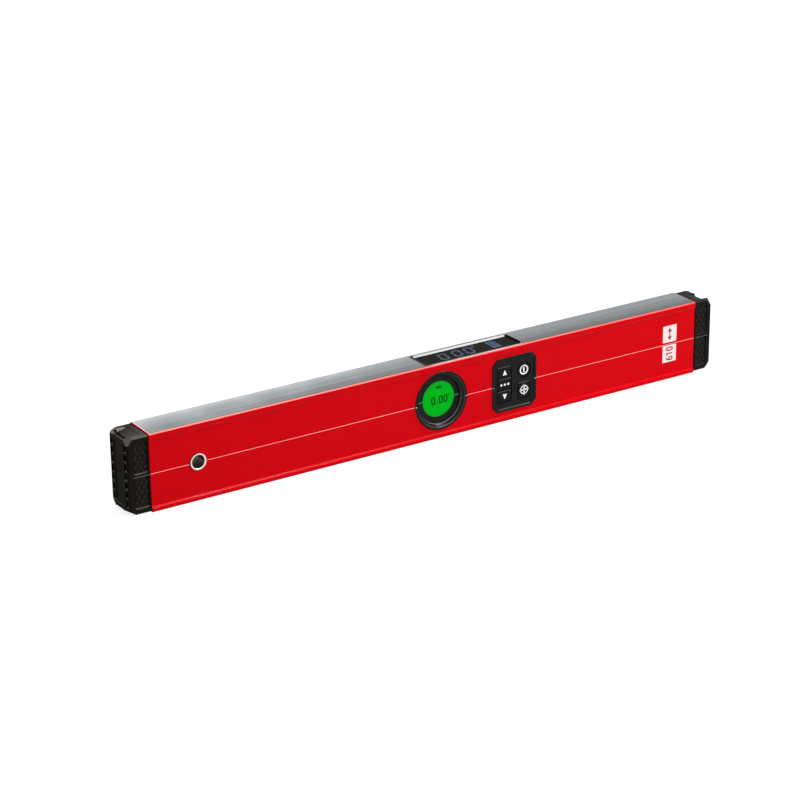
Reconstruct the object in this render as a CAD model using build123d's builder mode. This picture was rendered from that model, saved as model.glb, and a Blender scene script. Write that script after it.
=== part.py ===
from build123d import *
import os

# A digital spirit level, in millimetres.
# X runs along the beam, Y runs from the front face to the back, Z is up.
# The origin lies under the middle of the beam, on its lower measuring face.

# Beam: an extruded box with a rib along every edge and two milled measuring faces
OVERALL_LENGTH = 610.0
BEAM_HEIGHT = 70.0
BEAM_WIDTH = 34.0
MEASURING_WALL = 3.2
SIDE_WALL = 2.2
TOP_RIB_HEIGHT = 4.9
FOOT_RIB_HEIGHT = 3.6
RIB_SLOPE = 1.6
FACE_RECESS = 0.9
TOP_EDGE_RADIUS = 1.8
FOOT_EDGE_RADIUS = 0.8
CORE_RADIUS = 0.6
SCRIBE_WIDTH = 0.7
SCRIBE_DEPTH = 0.3
SCRIBE_DROP = 0.75

# Clearances
PASS_GAP = 0.2
SEAT_GAP = 0.1
PIN_GAP = 0.1
SIDE_GAP = 0.25

# Hang sleeve: a flanged tube through both side walls, locked by a collar at the back
SLEEVE_FROM_END = 44.6
SLEEVE_BORE_RADIUS = 5.9
SLEEVE_TUBE_WALL = 0.9
SLEEVE_FLANGE_REACH = 1.0
SLEEVE_FLANGE = 0.8
SLEEVE_MOUTH = 0.3

# Round display in the front face
DIAL_X = 2.3
DIAL_MARGIN = 1.3
BEZEL_LIP = 1.6
BEZEL_FLANGE = 0.8
BEZEL_LAND = 1.9
BEZEL_STEP = 0.7
BEZEL_ROUND = 0.4
DIAL_SINK = 3.1
FUNNEL_REACH = 2.5
FUNNEL_BOW = 0.45
LENS_HOLD = 1.1
LENS_THICKNESS = 1.5
MASK_THICKNESS = 0.4
DIAL_LCD_THICKNESS = 1.8
DIAL_LIGHT_THICKNESS = 2.3
MASK_BORDER = 5.6
TICK_WIDTH = 1.0
TICK_MARGIN = 0.5
DIAL_LIGHT_MARGIN = 4.0
STRIP_LENGTH = 13.0
STRIP_WIDTH = 2.0
SEAL_SECTION = 0.4
SEAL_MARGIN = 0.5
BEZEL_PIN_RADIUS = 0.8
BEZEL_PINS = 4

# Keypad in the front face
KEYPAD_X = 80.4
KEYPAD_WIDTH = 47.9
KEYPAD_HEIGHT = 51.2
KEYPAD_CORNER = 5.5
KEYPAD_ROUND = 2.0
KEYPAD_LIP = 2.0
KEYPAD_FLANGE = 0.8
KEYPAD_EDGE = 0.4
KEYPAD_RIM = 3.0
KEYPAD_SINK = 1.1
KEYPAD_BEVEL = 0.8
KEYPAD_DEPTH = 4.1
KEY_MARGIN = 2.6
KEY_COLUMN_WIDTH = 16.1
KEY_COLUMN_HEIGHT = 34.6
KEY_GAP = 0.5
KEY_SPACING = 0.6
KEY_STAND = 0.4
KEY_EDGE = 0.5
KEY_CORNER = 0.8
KEY_TRAVEL = 0.8
KEY_STOP = 0.05
KEY_SKIRT_REACH = 0.7
KEY_SKIRT = 1.0
KEY_STEM_RADIUS = 1.6
POWER_RADIUS = 7.6
POWER_DISH = 0.8
TARGET_WIDTH = 14.5
TARGET_HEIGHT = 16.0
POST_X = 13.0
POST_RADIUS = 1.8
POST_PIN_RADIUS = 1.0

# Display in the top measuring face
TOP_WINDOW_X = 40.5
TOP_WINDOW_LENGTH = 101.0
TOP_WINDOW_CORNER = 3.0
TOP_WINDOW_SINK = 2.0
TOP_LIP_REACH = 0.8
TOP_LIP = 1.0
TOP_SEAL = 0.5
TOP_LCD_MARGIN = 1.5
TOP_LCD_AIR = 0.1
TOP_LCD_THICKNESS = 1.6
TOP_LIGHT_THICKNESS = 0.9
TRAY_FLOOR = 1.2
RIBBON_WIDTH = 20.0
RIBBON_THICKNESS = 0.2
RIBBON_STANDOFF = 2.2
RIBBON_FLAP = 2.4
RIBBON_LEDGE = 4.2

# Electronics
BOARD_THICKNESS = 1.6
BOARD_MARGIN = 2.0
BOARD_TOP_GAP = 0.8
SWITCH_SIZE = 6.2
SWITCH_HEIGHT = 2.5
SWITCH_BUTTON_RADIUS = 1.75
SWITCH_BUTTON = 0.5
SENSOR_LENGTH = 22.0
SENSOR_HEIGHT = 15.0
SENSOR_DEPTH = 4.0
SENSOR_CORNER = 1.2
BEEPER_RADIUS = 6.0
BEEPER_DEPTH = 4.5
BEEPER_PORT_RADIUS = 1.0
CHIP_SIZE = 10.0
CHIP_DEPTH = 1.4
SOCKET_WALL = 2.0
SOCKET_DEPTH = 3.0
SOCKET_HEIGHT = 5.0

# Carrier: the moulded chassis that stands in the beam and holds the electronics and the cells
CARRIER_WALL = 2.0
CARRIER_MARGIN = 3.0
WINDOW_FILLET = 3.0
GUSSET_REACH = 10.0

# Battery bay, open at the back of the beam
BAY_X = -74.0
BAY_WALL = 1.6
BAY_SET_BACK = 0.2
CELL_RADIUS = 7.25
CELL_LENGTH = 50.5
CELL_NUB_RADIUS = 2.75
CELL_NUB = 1.2
CELL_EDGE = 0.6
CELL_GAP = 1.0
CELL_FLOOR_GAP = 0.1
CELL_COVER_GAP = 0.7
CONTACT_SPACE = 3.0
CONTACT_SHEET = 0.5
CONTACT_WIDTH = 9.0
CONTACT_CREST = 3.0
CONTACT_FOOT = 5.0
CONTACT_BUTTON_RADIUS = 2.2
TAIL_WIDTH = 2.0
BOSS_RADIUS = 3.6
BOSS_MARGIN = 1.0
COVER_LIP = 3.0
COVER_FLANGE = 0.8
COVER_CORNER = 4.0
COVER_EDGE = 0.4
COVER_SEAL = 1.0
COVER_SCALLOP_RADIUS = 7.0
COVER_SCALLOP_DEPTH = 2.2
SCREW_RADIUS = 1.25
SCREW_LENGTH = 8.0
SCREW_HEAD_RADIUS = 2.8
SCREW_HEAD = 1.3
SCREW_SLOT = 0.9
SCREW_SLOT_DEPTH = 0.7

# End caps: a soft bumper on a hard plug that is pressed into the beam
CAP_LENGTH = 20.4
CAP_SIDE_INSET = 0.9
CAP_EDGE_INSET = 0.7
CAP_EDGE_CHAMFER = 1.6
CAP_LONG_CHAMFER = 1.2
CAP_FACET_REACH = 6.4
CAP_FACET_SIDE = 0.8
CAP_FACET_UP = 0.8
CAP_SHALLOW_FACET_SIDE = 0.28
CAP_SHALLOW_FACET_UP = 1.5
CAP_NECK = 1.0
CAP_NECK_SINK = 0.8
RAMP_SLANT = 2.2
RAMP_WALL = 0.4
RAMP_DEPTH = 2.4
RAMP_START = 0.3
RAMP_FOOT = 4.4
RAMP_LENGTH = 10.6
CAP_SLOT_DEPTH = 4.0
CAP_END_WALL = 2.2
RIGHT_END_WALL_DROP = 2.6
POCKET_COUNT = 7
POCKET_MARGIN = 5.6
POCKET_WIDTH = 4.6
POCKET_RIB = 1.6
POCKET_EDGE = 0.4
POCKET_DEPTH = 4.5
POCKET_DRAFT = 9.0
END_PANEL_MARGIN = 1.2
END_PANEL_SINK = 0.6
PANEL_LENGTH = 13.4
PANEL_FROM_BEAM = 1.6
PANEL_MARGIN = 4.8
PANEL_BAND = 2.6
PANEL_SINK = 1.6
PANEL_SLOPE = 0.9
PANEL_CORNER = 2.4
PAD_THICKNESS = 0.8
DATUM_RIDGE_LENGTH = 15.0
DATUM_RIDGE_WIDTH = 0.8
DATUM_RIDGE = 0.5
PLUG_BASE = 3.0
PLUG_LENGTH = 24.0
PLUG_WALL = 2.0
CRUSH_RIB_WIDTH = 1.4
CRUSH_RIB_PITCH = 20.0
CRUSH_GAP = 0.02

# Places worked out from the sizes above
beam_length = OVERALL_LENGTH - 2 * CAP_LENGTH
mid_z = BEAM_HEIGHT / 2
scribe_z = mid_z - SCRIBE_DROP
face_y = BEAM_WIDTH / 2 - FACE_RECESS
inner_y = face_y - SIDE_WALL
floor_z = MEASURING_WALL
ceiling_z = BEAM_HEIGHT - MEASURING_WALL

sleeve_x = SLEEVE_FROM_END - beam_length / 2
sleeve_tube_radius = SLEEVE_BORE_RADIUS + SLEEVE_TUBE_WALL
sleeve_flange_radius = sleeve_tube_radius + SLEEVE_FLANGE_REACH

bezel_radius = mid_z - TOP_RIB_HEIGHT - RIB_SLOPE - DIAL_MARGIN
barrel_radius = bezel_radius - BEZEL_LIP
funnel_radius = bezel_radius - BEZEL_LAND - BEZEL_STEP
view_radius = funnel_radius - FUNNEL_REACH
lens_radius = view_radius + LENS_HOLD
dial_opening_radius = view_radius - MASK_BORDER
lens_front = DIAL_SINK - face_y
lens_back = lens_front + LENS_THICKNESS
mask_back = lens_back + MASK_THICKNESS
dial_lcd_back = mask_back + DIAL_LCD_THICKNESS
board_front = dial_lcd_back + DIAL_LIGHT_THICKNESS
board_back = board_front + BOARD_THICKNESS
plate_back = board_back + CARRIER_WALL

top_half_width = inner_y - CORE_RADIUS
top_window_width = 2 * (top_half_width - TOP_LIP_REACH)
lip_length = TOP_WINDOW_LENGTH + 2 * TOP_LIP_REACH
lip_top = ceiling_z - TOP_SEAL
lip_bottom = lip_top - TOP_LIP
top_lcd_bottom = lip_bottom - TOP_LCD_AIR - TOP_LCD_THICKNESS
top_light_bottom = top_lcd_bottom - TOP_LIGHT_THICKNESS
tray_bottom = top_light_bottom - TRAY_FLOOR
top_lcd_length = TOP_WINDOW_LENGTH - 2 * TOP_LCD_MARGIN
top_lcd_width = top_window_width - 2 * TOP_LCD_MARGIN
ribbon_x = (DIAL_X + bezel_radius + KEYPAD_X - KEYPAD_WIDTH / 2) / 2
ribbon_y = board_front - RIBBON_STANDOFF

keypad_back = KEYPAD_DEPTH - face_y
key_floor = KEYPAD_SINK - KEYPAD_FLANGE - face_y
key_top = key_floor - KEY_STAND
key_stem_end = board_front - SWITCH_HEIGHT - SWITCH_BUTTON - KEY_TRAVEL - KEY_STOP
key_field_half_width = KEYPAD_WIDTH / 2 - KEYPAD_RIM - KEY_MARGIN
column_x = KEYPAD_X - key_field_half_width + KEY_COLUMN_WIDTH / 2
column_key_height = (KEY_COLUMN_HEIGHT - 2 * KEY_GAP - 2 * KEY_SPACING) / 3
column_key_pitch = column_key_height + KEY_SPACING
right_key_x = KEYPAD_X + key_field_half_width - POWER_RADIUS
power_z = mid_z + KEY_COLUMN_HEIGHT / 2 - POWER_RADIUS
target_z = mid_z - KEY_COLUMN_HEIGHT / 2 + TARGET_HEIGHT / 2
post_z = (KEY_COLUMN_HEIGHT / 2 + KEYPAD_HEIGHT / 2 - KEYPAD_LIP) / 2
key_centres = [
    (column_x, mid_z + column_key_pitch),
    (column_x, mid_z),
    (column_x, mid_z - column_key_pitch),
    (right_key_x, power_z),
    (right_key_x, target_z),
]

bay_length = CELL_LENGTH + 2 * CONTACT_SPACE
bay_height = 4 * CELL_RADIUS + 3 * CELL_GAP
bay_rim = inner_y - BAY_SET_BACK
bay_floor = bay_rim - 2 * CELL_RADIUS - CELL_FLOOR_GAP - CELL_COVER_GAP
cell_y = bay_floor + CELL_FLOOR_GAP + CELL_RADIUS
cell_rise = CELL_RADIUS + CELL_GAP / 2
bay_left = BAY_X - bay_length / 2
bay_right = BAY_X + bay_length / 2
boss_offset = bay_length / 2 + BAY_WALL + BOSS_RADIUS + BOSS_MARGIN
bay_opening_length = 2 * (boss_offset + BOSS_RADIUS + BOSS_MARGIN)
bay_opening_height = bay_height + 2 * BAY_WALL + 2 * BOSS_MARGIN
cover_inside = bay_rim + COVER_SEAL
cover_outside = face_y + COVER_FLANGE
cover_opening_corner = COVER_CORNER - PASS_GAP
tail_z = [mid_z + cell_rise, mid_z - cell_rise]
tail_x = bay_left + CONTACT_SHEET / 2

carrier_left = BAY_X - boss_offset - BOSS_RADIUS - CARRIER_MARGIN
carrier_right = KEYPAD_X + KEYPAD_WIDTH / 2 + CARRIER_MARGIN
carrier_length = carrier_right - carrier_left
carrier_x = (carrier_right + carrier_left) / 2
board_length = carrier_length - 2 * BOARD_MARGIN
board_bottom = floor_z + CARRIER_WALL + BOARD_MARGIN
board_top = tray_bottom - BOARD_TOP_GAP
board_height = board_top - board_bottom
sensor_x = BAY_X + SENSOR_LENGTH / 4
beeper_x = (bay_right + DIAL_X - bezel_radius) / 2

cap_outer_x = -OVERALL_LENGTH / 2
cap_inner_x = -beam_length / 2
cap_x = (cap_outer_x + cap_inner_x) / 2
cap_half_width = BEAM_WIDTH / 2 - CAP_SIDE_INSET
cap_height = BEAM_HEIGHT - 2 * CAP_EDGE_INSET
plug_width = 2 * (inner_y - SIDE_GAP)
plug_height = ceiling_z - floor_z - 2 * SIDE_GAP
pocket_pitch = (cap_height - 2 * POCKET_MARGIN) / POCKET_COUNT
pocket_y = cap_half_width - CAP_EDGE_CHAMFER - POCKET_EDGE - POCKET_WIDTH / 2
ramp_floor = 2 * (pocket_y - POCKET_WIDTH / 2 - RAMP_WALL)
ramp_mouth = ramp_floor + 2 * RAMP_SLANT
panel_height = (cap_height - PANEL_BAND) / 2 - PANEL_MARGIN
panel_x = cap_inner_x - PANEL_FROM_BEAM - PANEL_LENGTH / 2
panel_floor_length = PANEL_LENGTH - 2 * PANEL_SLOPE
panel_floor_height = panel_height - 2 * PANEL_SLOPE
panel_floor_corner = PANEL_CORNER - PANEL_SLOPE
panel_rise = (panel_height + PANEL_BAND) / 2

front_face = Plane.XZ.offset(face_y)
back_face = Plane.XZ.offset(-face_y)
dial_axis = Axis((DIAL_X, 0, mid_z), (0, 1, 0))
dial_plane = Plane((DIAL_X, 0, mid_z), x_dir=(1, 0, 0), z_dir=(0, 0, 1))
sleeve_axis = Axis((sleeve_x, 0, mid_z), (0, 1, 0))
sleeve_plane = Plane((sleeve_x, 0, mid_z), x_dir=(1, 0, 0), z_dir=(0, 0, 1))

os.makedirs("parts", exist_ok=True)


def depth_plane(y):
    """Upright plane at depth y that looks to the front, with X across and Z up."""
    return Plane.XZ.offset(-y)


def save(builder, name):
    """Label a finished piece and write it as its own file."""
    builder.part.label = name
    export_step(builder.part, f"parts/{name}.step")


def inset(outline, amount):
    """The same outline, drawn in by the amount on every side."""
    with BuildSketch() as smaller:
        add(outline)
        offset(amount=-amount, mode=Mode.REPLACE)
    return smaller.sketch


def channel(drop):
    """Section of an end cap's ramp that lies that far below the cap's edge, with slanting walls."""
    edge = cap_height / 2
    with BuildSketch() as section:
        with BuildLine():
            Polyline(
                (-ramp_mouth / 2, edge + SEAT_GAP),
                (-ramp_floor / 2, edge - drop),
                (ramp_floor / 2, edge - drop),
                (ramp_mouth / 2, edge + SEAT_GAP),
                close=True,
            )
        make_face()
    return section.sketch


def corner_facet(outward, side, end, lean=CAP_FACET_SIDE, up=CAP_FACET_UP):
    """Plane that cuts a corner of an end cap, at the left or right, front or back, top or bottom."""
    return Plane(
        (
            outward * (OVERALL_LENGTH / 2 - CAP_FACET_REACH),
            side * cap_half_width,
            mid_z + end * cap_height / 2,
        ),
        z_dir=(outward, side * lean, end * up),
    )


# Outlines that several pieces share
with BuildSketch() as keypad_sketch:
    Rectangle(KEYPAD_WIDTH, KEYPAD_HEIGHT)
    chamfer(keypad_sketch.vertices(), KEYPAD_CORNER)
    fillet(keypad_sketch.vertices(), KEYPAD_ROUND)
keypad_outline = keypad_sketch.sketch
keypad_body_outline = inset(keypad_outline, KEYPAD_LIP)
keypad_hole_outline = inset(keypad_outline, KEYPAD_LIP - PASS_GAP)
keypad_seal_outline = inset(keypad_outline, SEAL_MARGIN)
keypad_floor_outline = inset(keypad_outline, KEYPAD_RIM)


# Beam: the extruded section, then the openings that are milled into it
with BuildPart() as beam_profile:
    with BuildSketch(Plane.YZ):
        side = [
            (BEAM_WIDTH / 2, 0),
            (BEAM_WIDTH / 2, FOOT_RIB_HEIGHT),
            (face_y, FOOT_RIB_HEIGHT + RIB_SLOPE),
            (face_y, scribe_z - SCRIBE_WIDTH / 2),
            (face_y - SCRIBE_DEPTH, scribe_z),
            (face_y, scribe_z + SCRIBE_WIDTH / 2),
            (face_y, BEAM_HEIGHT - TOP_RIB_HEIGHT - RIB_SLOPE),
            (BEAM_WIDTH / 2, BEAM_HEIGHT - TOP_RIB_HEIGHT),
            (BEAM_WIDTH / 2, BEAM_HEIGHT),
        ]
        with BuildLine():
            Polyline(*side, *[(-y, z) for y, z in reversed(side)], close=True)
        make_face()
        fillet(vertices().group_by(Axis.Y)[-1], TOP_EDGE_RADIUS)
        fillet(vertices().group_by(Axis.Y)[0], FOOT_EDGE_RADIUS)
        with Locations((0, mid_z)):
            RectangleRounded(2 * inner_y, ceiling_z - floor_z, CORE_RADIUS, mode=Mode.SUBTRACT)
    extrude(amount=beam_length / 2, both=True)
    with BuildSketch(front_face):
        with Locations((DIAL_X, mid_z)):
            Circle(barrel_radius + PASS_GAP)
        with Locations((KEYPAD_X, mid_z)):
            add(keypad_hole_outline)
        with Locations((sleeve_x, mid_z)):
            Circle(sleeve_tube_radius + PIN_GAP)
    extrude(amount=-(SIDE_WALL + PASS_GAP), mode=Mode.SUBTRACT)
    with BuildSketch(back_face):
        with Locations((BAY_X, mid_z)):
            RectangleRounded(bay_opening_length, bay_opening_height, COVER_CORNER)
        with Locations((sleeve_x, mid_z)):
            Circle(sleeve_tube_radius + PIN_GAP)
    extrude(amount=SIDE_WALL + PASS_GAP, mode=Mode.SUBTRACT)
    with BuildSketch(Plane.XY.offset(BEAM_HEIGHT)):
        with Locations((TOP_WINDOW_X, 0)):
            RectangleRounded(TOP_WINDOW_LENGTH, top_window_width, TOP_WINDOW_CORNER)
    extrude(amount=-(MEASURING_WALL + PASS_GAP), mode=Mode.SUBTRACT)
save(beam_profile, "beam_profile")


# Hang sleeve and its collar
sleeve_end = face_y + SLEEVE_FLANGE
with BuildPart() as hang_sleeve:
    with BuildSketch(sleeve_plane):
        with BuildLine():
            Polyline(
                (SLEEVE_BORE_RADIUS, SLEEVE_MOUTH - sleeve_end),
                (SLEEVE_BORE_RADIUS + SLEEVE_MOUTH, -sleeve_end),
                (sleeve_flange_radius - SLEEVE_MOUTH, -sleeve_end),
                (sleeve_flange_radius, SLEEVE_MOUTH - sleeve_end),
                (sleeve_flange_radius, -face_y),
                (sleeve_tube_radius, -face_y),
                (sleeve_tube_radius, sleeve_end),
                (SLEEVE_BORE_RADIUS + SLEEVE_MOUTH, sleeve_end),
                (SLEEVE_BORE_RADIUS, sleeve_end - SLEEVE_MOUTH),
                close=True,
            )
        make_face()
    revolve(axis=sleeve_axis)
save(hang_sleeve, "hang_sleeve")

with BuildPart() as hang_sleeve_collar:
    with BuildSketch(back_face):
        with Locations((sleeve_x, mid_z)):
            Circle(sleeve_flange_radius)
            Circle(sleeve_tube_radius + CRUSH_GAP, mode=Mode.SUBTRACT)
    extrude(amount=-SLEEVE_FLANGE)
    outer_rim = faces().sort_by(Axis.Y)[-1].outer_wire().edges()
    chamfer(outer_rim, SLEEVE_MOUTH)
save(hang_sleeve_collar, "hang_sleeve_collar")


# End cap bumper: a chamfered block with faceted corners, then ramps, slots, pockets and panels
with BuildPart() as left_end_cap:
    with BuildSketch(Plane.XY):
        with Locations((cap_x, 0)):
            Rectangle(CAP_LENGTH, 2 * cap_half_width)
        chamfer(vertices().group_by(Axis.X)[0], CAP_EDGE_CHAMFER)
    extrude(amount=BEAM_HEIGHT)
    with BuildSketch(Plane.YZ.offset(cap_outer_x)):
        with Locations((0, mid_z)):
            Rectangle(2 * cap_half_width, cap_height)
        chamfer(vertices(), CAP_LONG_CHAMFER)
    extrude(amount=CAP_LENGTH, mode=Mode.INTERSECT)
    for end in (-1, 1):
        shallow_facet = corner_facet(-1, end, end, CAP_SHALLOW_FACET_SIDE, CAP_SHALLOW_FACET_UP)
        split(bisect_by=corner_facet(-1, -end, end), keep=Keep.BOTTOM)
        split(bisect_by=shallow_facet, keep=Keep.BOTTOM)
    with BuildSketch(Plane.YZ.offset(cap_inner_x)):
        with Locations((0, mid_z)):
            Rectangle(BEAM_WIDTH, BEAM_HEIGHT)
            Rectangle(
                2 * (cap_half_width - CAP_NECK_SINK), cap_height - 2 * CAP_NECK_SINK, mode=Mode.SUBTRACT
            )
    extrude(amount=-CAP_NECK, mode=Mode.SUBTRACT)
    for end in (-1, 1):
        end_view = Plane((cap_outer_x, 0, mid_z), x_dir=(0, end, 0), z_dir=(1, 0, 0))
        with BuildSketch(end_view):
            add(channel(RAMP_DEPTH))
        extrude(amount=RAMP_FOOT, mode=Mode.SUBTRACT)
        with BuildSketch(end_view.offset(RAMP_FOOT)):
            add(channel(RAMP_DEPTH))
        with BuildSketch(end_view.offset(RAMP_FOOT + RAMP_LENGTH)):
            add(channel(RAMP_START))
        loft(ruled=True, mode=Mode.SUBTRACT)
        with BuildSketch(end_view.offset(CAP_END_WALL)):
            with Locations((0, cap_height / 2)):
                Rectangle(ramp_mouth + 2 * RAMP_WALL, 2 * RAMP_DEPTH)
            with Locations((0, cap_height / 2 - RAMP_DEPTH)):
                Rectangle(ramp_floor, 2 * CAP_SLOT_DEPTH)
        extrude(amount=RAMP_FOOT - CAP_END_WALL, mode=Mode.SUBTRACT)
    with BuildSketch(Plane.YZ.offset(cap_outer_x)):
        with Locations((0, mid_z)):
            with GridLocations(2 * pocket_y, pocket_pitch, 2, POCKET_COUNT):
                Rectangle(POCKET_WIDTH, pocket_pitch - POCKET_RIB)
    extrude(amount=POCKET_DEPTH, taper=POCKET_DRAFT, mode=Mode.SUBTRACT)
    with BuildSketch(Plane.YZ.offset(cap_outer_x)):
        with Locations((0, mid_z)):
            RectangleRounded(
                ramp_floor - 2 * END_PANEL_MARGIN, POCKET_COUNT * pocket_pitch - POCKET_RIB, PANEL_CORNER
            )
    extrude(amount=END_PANEL_SINK, mode=Mode.SUBTRACT)
    for side in (-1, 1):
        for panel_z in (mid_z + panel_rise, mid_z - panel_rise):
            with BuildSketch(depth_plane(side * cap_half_width)):
                with Locations((panel_x, panel_z)):
                    RectangleRounded(PANEL_LENGTH, panel_height, PANEL_CORNER)
            with BuildSketch(depth_plane(side * (cap_half_width - PANEL_SINK))):
                with Locations((panel_x, panel_z)):
                    RectangleRounded(panel_floor_length, panel_floor_height, panel_floor_corner)
            loft(ruled=True, mode=Mode.SUBTRACT)
        with BuildSketch(depth_plane(side * cap_half_width)):
            with Locations((cap_inner_x - CAP_NECK - DATUM_RIDGE_LENGTH / 2, scribe_z)):
                Rectangle(DATUM_RIDGE_LENGTH, DATUM_RIDGE_WIDTH)
        extrude(amount=-side * DATUM_RIDGE)
    with BuildSketch(Plane.YZ.offset(cap_inner_x)):
        with Locations((0, mid_z)):
            Rectangle(plug_width + 2 * SEAT_GAP, plug_height + 2 * SEAT_GAP)
    extrude(amount=-PLUG_BASE, mode=Mode.SUBTRACT)
save(left_end_cap, "left_end_cap")

# Plug: a hollow box with crush ribs along its sides and a web across its middle
with BuildPart() as left_cap_plug:
    with BuildSketch(Plane.YZ.offset(cap_inner_x - PLUG_BASE)):
        with Locations((0, mid_z)):
            RectangleRounded(plug_width, plug_height, CORE_RADIUS)
    extrude(amount=PLUG_BASE + PLUG_LENGTH)
    with BuildSketch(Plane.YZ.offset(cap_inner_x)):
        with Locations((0, mid_z)):
            Rectangle(plug_width - 2 * PLUG_WALL, plug_height - 2 * PLUG_WALL)
            Rectangle(plug_width, PLUG_WALL, mode=Mode.SUBTRACT)
    extrude(amount=PLUG_LENGTH, mode=Mode.SUBTRACT)
    with BuildSketch(Plane.YZ.offset(cap_inner_x)):
        with Locations((0, mid_z)):
            with GridLocations(0, CRUSH_RIB_PITCH, 1, 3):
                Rectangle(2 * (inner_y - CRUSH_GAP), CRUSH_RIB_WIDTH)
            Rectangle(plug_width - PLUG_WALL, plug_height, mode=Mode.SUBTRACT)
    extrude(amount=PLUG_LENGTH)
save(left_cap_plug, "left_cap_plug")

# Grip pads: four soft plates that lie in the bumper's side panels
with BuildPart() as left_cap_grips:
    for side_plane, outward in (
        (depth_plane(PANEL_SINK - cap_half_width), 1),
        (depth_plane(cap_half_width - PANEL_SINK), -1),
    ):
        with BuildSketch(side_plane):
            with Locations((panel_x, mid_z + panel_rise), (panel_x, mid_z - panel_rise)):
                RectangleRounded(
                    panel_floor_length - 2 * SEAT_GAP,
                    panel_floor_height - 2 * SEAT_GAP,
                    panel_floor_corner - SEAT_GAP,
                )
        extrude(amount=outward * PAD_THICKNESS)
save(left_cap_grips, "left_cap_grips")

# The right bumper is cut deep at all its corners, and its end walls stand lower
with BuildPart() as right_end_cap:
    mirror(left_end_cap.part, about=Plane.YZ)
    for end in (-1, 1):
        split(bisect_by=corner_facet(1, end, end), keep=Keep.BOTTOM)
        with BuildSketch(Plane((-cap_outer_x, 0, mid_z), x_dir=(0, end, 0), z_dir=(1, 0, 0))):
            with Locations((0, cap_height / 2 - RAMP_DEPTH)):
                Rectangle(ramp_floor, 2 * RIGHT_END_WALL_DROP)
        extrude(amount=-CAP_END_WALL, mode=Mode.SUBTRACT)
save(right_end_cap, "right_end_cap")

with BuildPart() as right_cap_plug:
    mirror(left_cap_plug.part, about=Plane.YZ)
save(right_cap_plug, "right_cap_plug")

with BuildPart() as right_cap_grips:
    mirror(left_cap_grips.part, about=Plane.YZ)
save(right_cap_grips, "right_cap_grips")


# Round display: bezel, seal, lens, mask, liquid crystal cell, light guide and contact strips
rim_y = -face_y - BEZEL_FLANGE
with BuildPart() as display_bezel:
    with BuildSketch(dial_plane):
        with BuildLine():
            Polyline(
                (funnel_radius, rim_y + BEZEL_STEP),
                (funnel_radius + BEZEL_STEP, rim_y),
                (bezel_radius - BEZEL_ROUND, rim_y),
                (bezel_radius, rim_y + BEZEL_ROUND),
                (bezel_radius, -face_y),
                (bezel_radius - SEAL_MARGIN, -face_y),
                (bezel_radius - SEAL_MARGIN, -face_y - SEAL_SECTION),
                (barrel_radius, -face_y - SEAL_SECTION),
                (barrel_radius, board_front),
                (lens_radius + SEAT_GAP, board_front),
                (lens_radius + SEAT_GAP, lens_front),
                (view_radius, lens_front),
            )
            SagittaArc((view_radius, lens_front), (funnel_radius, rim_y + BEZEL_STEP), -FUNNEL_BOW)
        make_face()
    revolve(axis=dial_axis)
    with BuildSketch(depth_plane(board_front)):
        with Locations((DIAL_X, mid_z)):
            with PolarLocations((barrel_radius + lens_radius + SEAT_GAP) / 2, BEZEL_PINS, start_angle=45):
                Circle(BEZEL_PIN_RADIUS)
    extrude(amount=-(BOARD_THICKNESS + CARRIER_WALL))
save(display_bezel, "display_bezel")

with BuildPart() as bezel_seal:
    with BuildSketch(front_face):
        with Locations((DIAL_X, mid_z)):
            Circle(bezel_radius - SEAL_MARGIN - SEAT_GAP)
            Circle(barrel_radius + PASS_GAP, mode=Mode.SUBTRACT)
    extrude(amount=SEAL_SECTION)
save(bezel_seal, "bezel_seal")

with BuildPart() as display_lens:
    with BuildSketch(depth_plane(lens_front)):
        with Locations((DIAL_X, mid_z)):
            Circle(lens_radius)
    extrude(amount=-LENS_THICKNESS)
save(display_lens, "display_lens")

with BuildPart() as dial_mask:
    with BuildSketch(depth_plane(lens_back)):
        with Locations((DIAL_X, mid_z)):
            Circle(lens_radius)
            Circle(dial_opening_radius, mode=Mode.SUBTRACT)
            Rectangle(2 * (view_radius - TICK_MARGIN), TICK_WIDTH, mode=Mode.SUBTRACT)
    extrude(amount=-MASK_THICKNESS)
save(dial_mask, "dial_mask")

strip_rise = lens_radius - DIAL_LIGHT_MARGIN + STRIP_WIDTH / 2 + SEAT_GAP
with BuildPart() as dial_lcd:
    with BuildSketch(depth_plane(mask_back)):
        with Locations((DIAL_X, mid_z)):
            Circle(lens_radius)
    extrude(amount=-DIAL_LCD_THICKNESS)
save(dial_lcd, "dial_lcd")

with BuildPart() as dial_light_guide:
    with BuildSketch(depth_plane(dial_lcd_back)):
        with Locations((DIAL_X, mid_z)):
            Circle(lens_radius - DIAL_LIGHT_MARGIN)
    extrude(amount=-DIAL_LIGHT_THICKNESS)
save(dial_light_guide, "dial_light_guide")

with BuildPart() as dial_contact_strips:
    with BuildSketch(depth_plane(dial_lcd_back)):
        with Locations((DIAL_X, mid_z)):
            with GridLocations(0, 2 * strip_rise, 1, 2):
                Rectangle(STRIP_LENGTH, STRIP_WIDTH)
    extrude(amount=-DIAL_LIGHT_THICKNESS)
save(dial_contact_strips, "dial_contact_strips")


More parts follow.
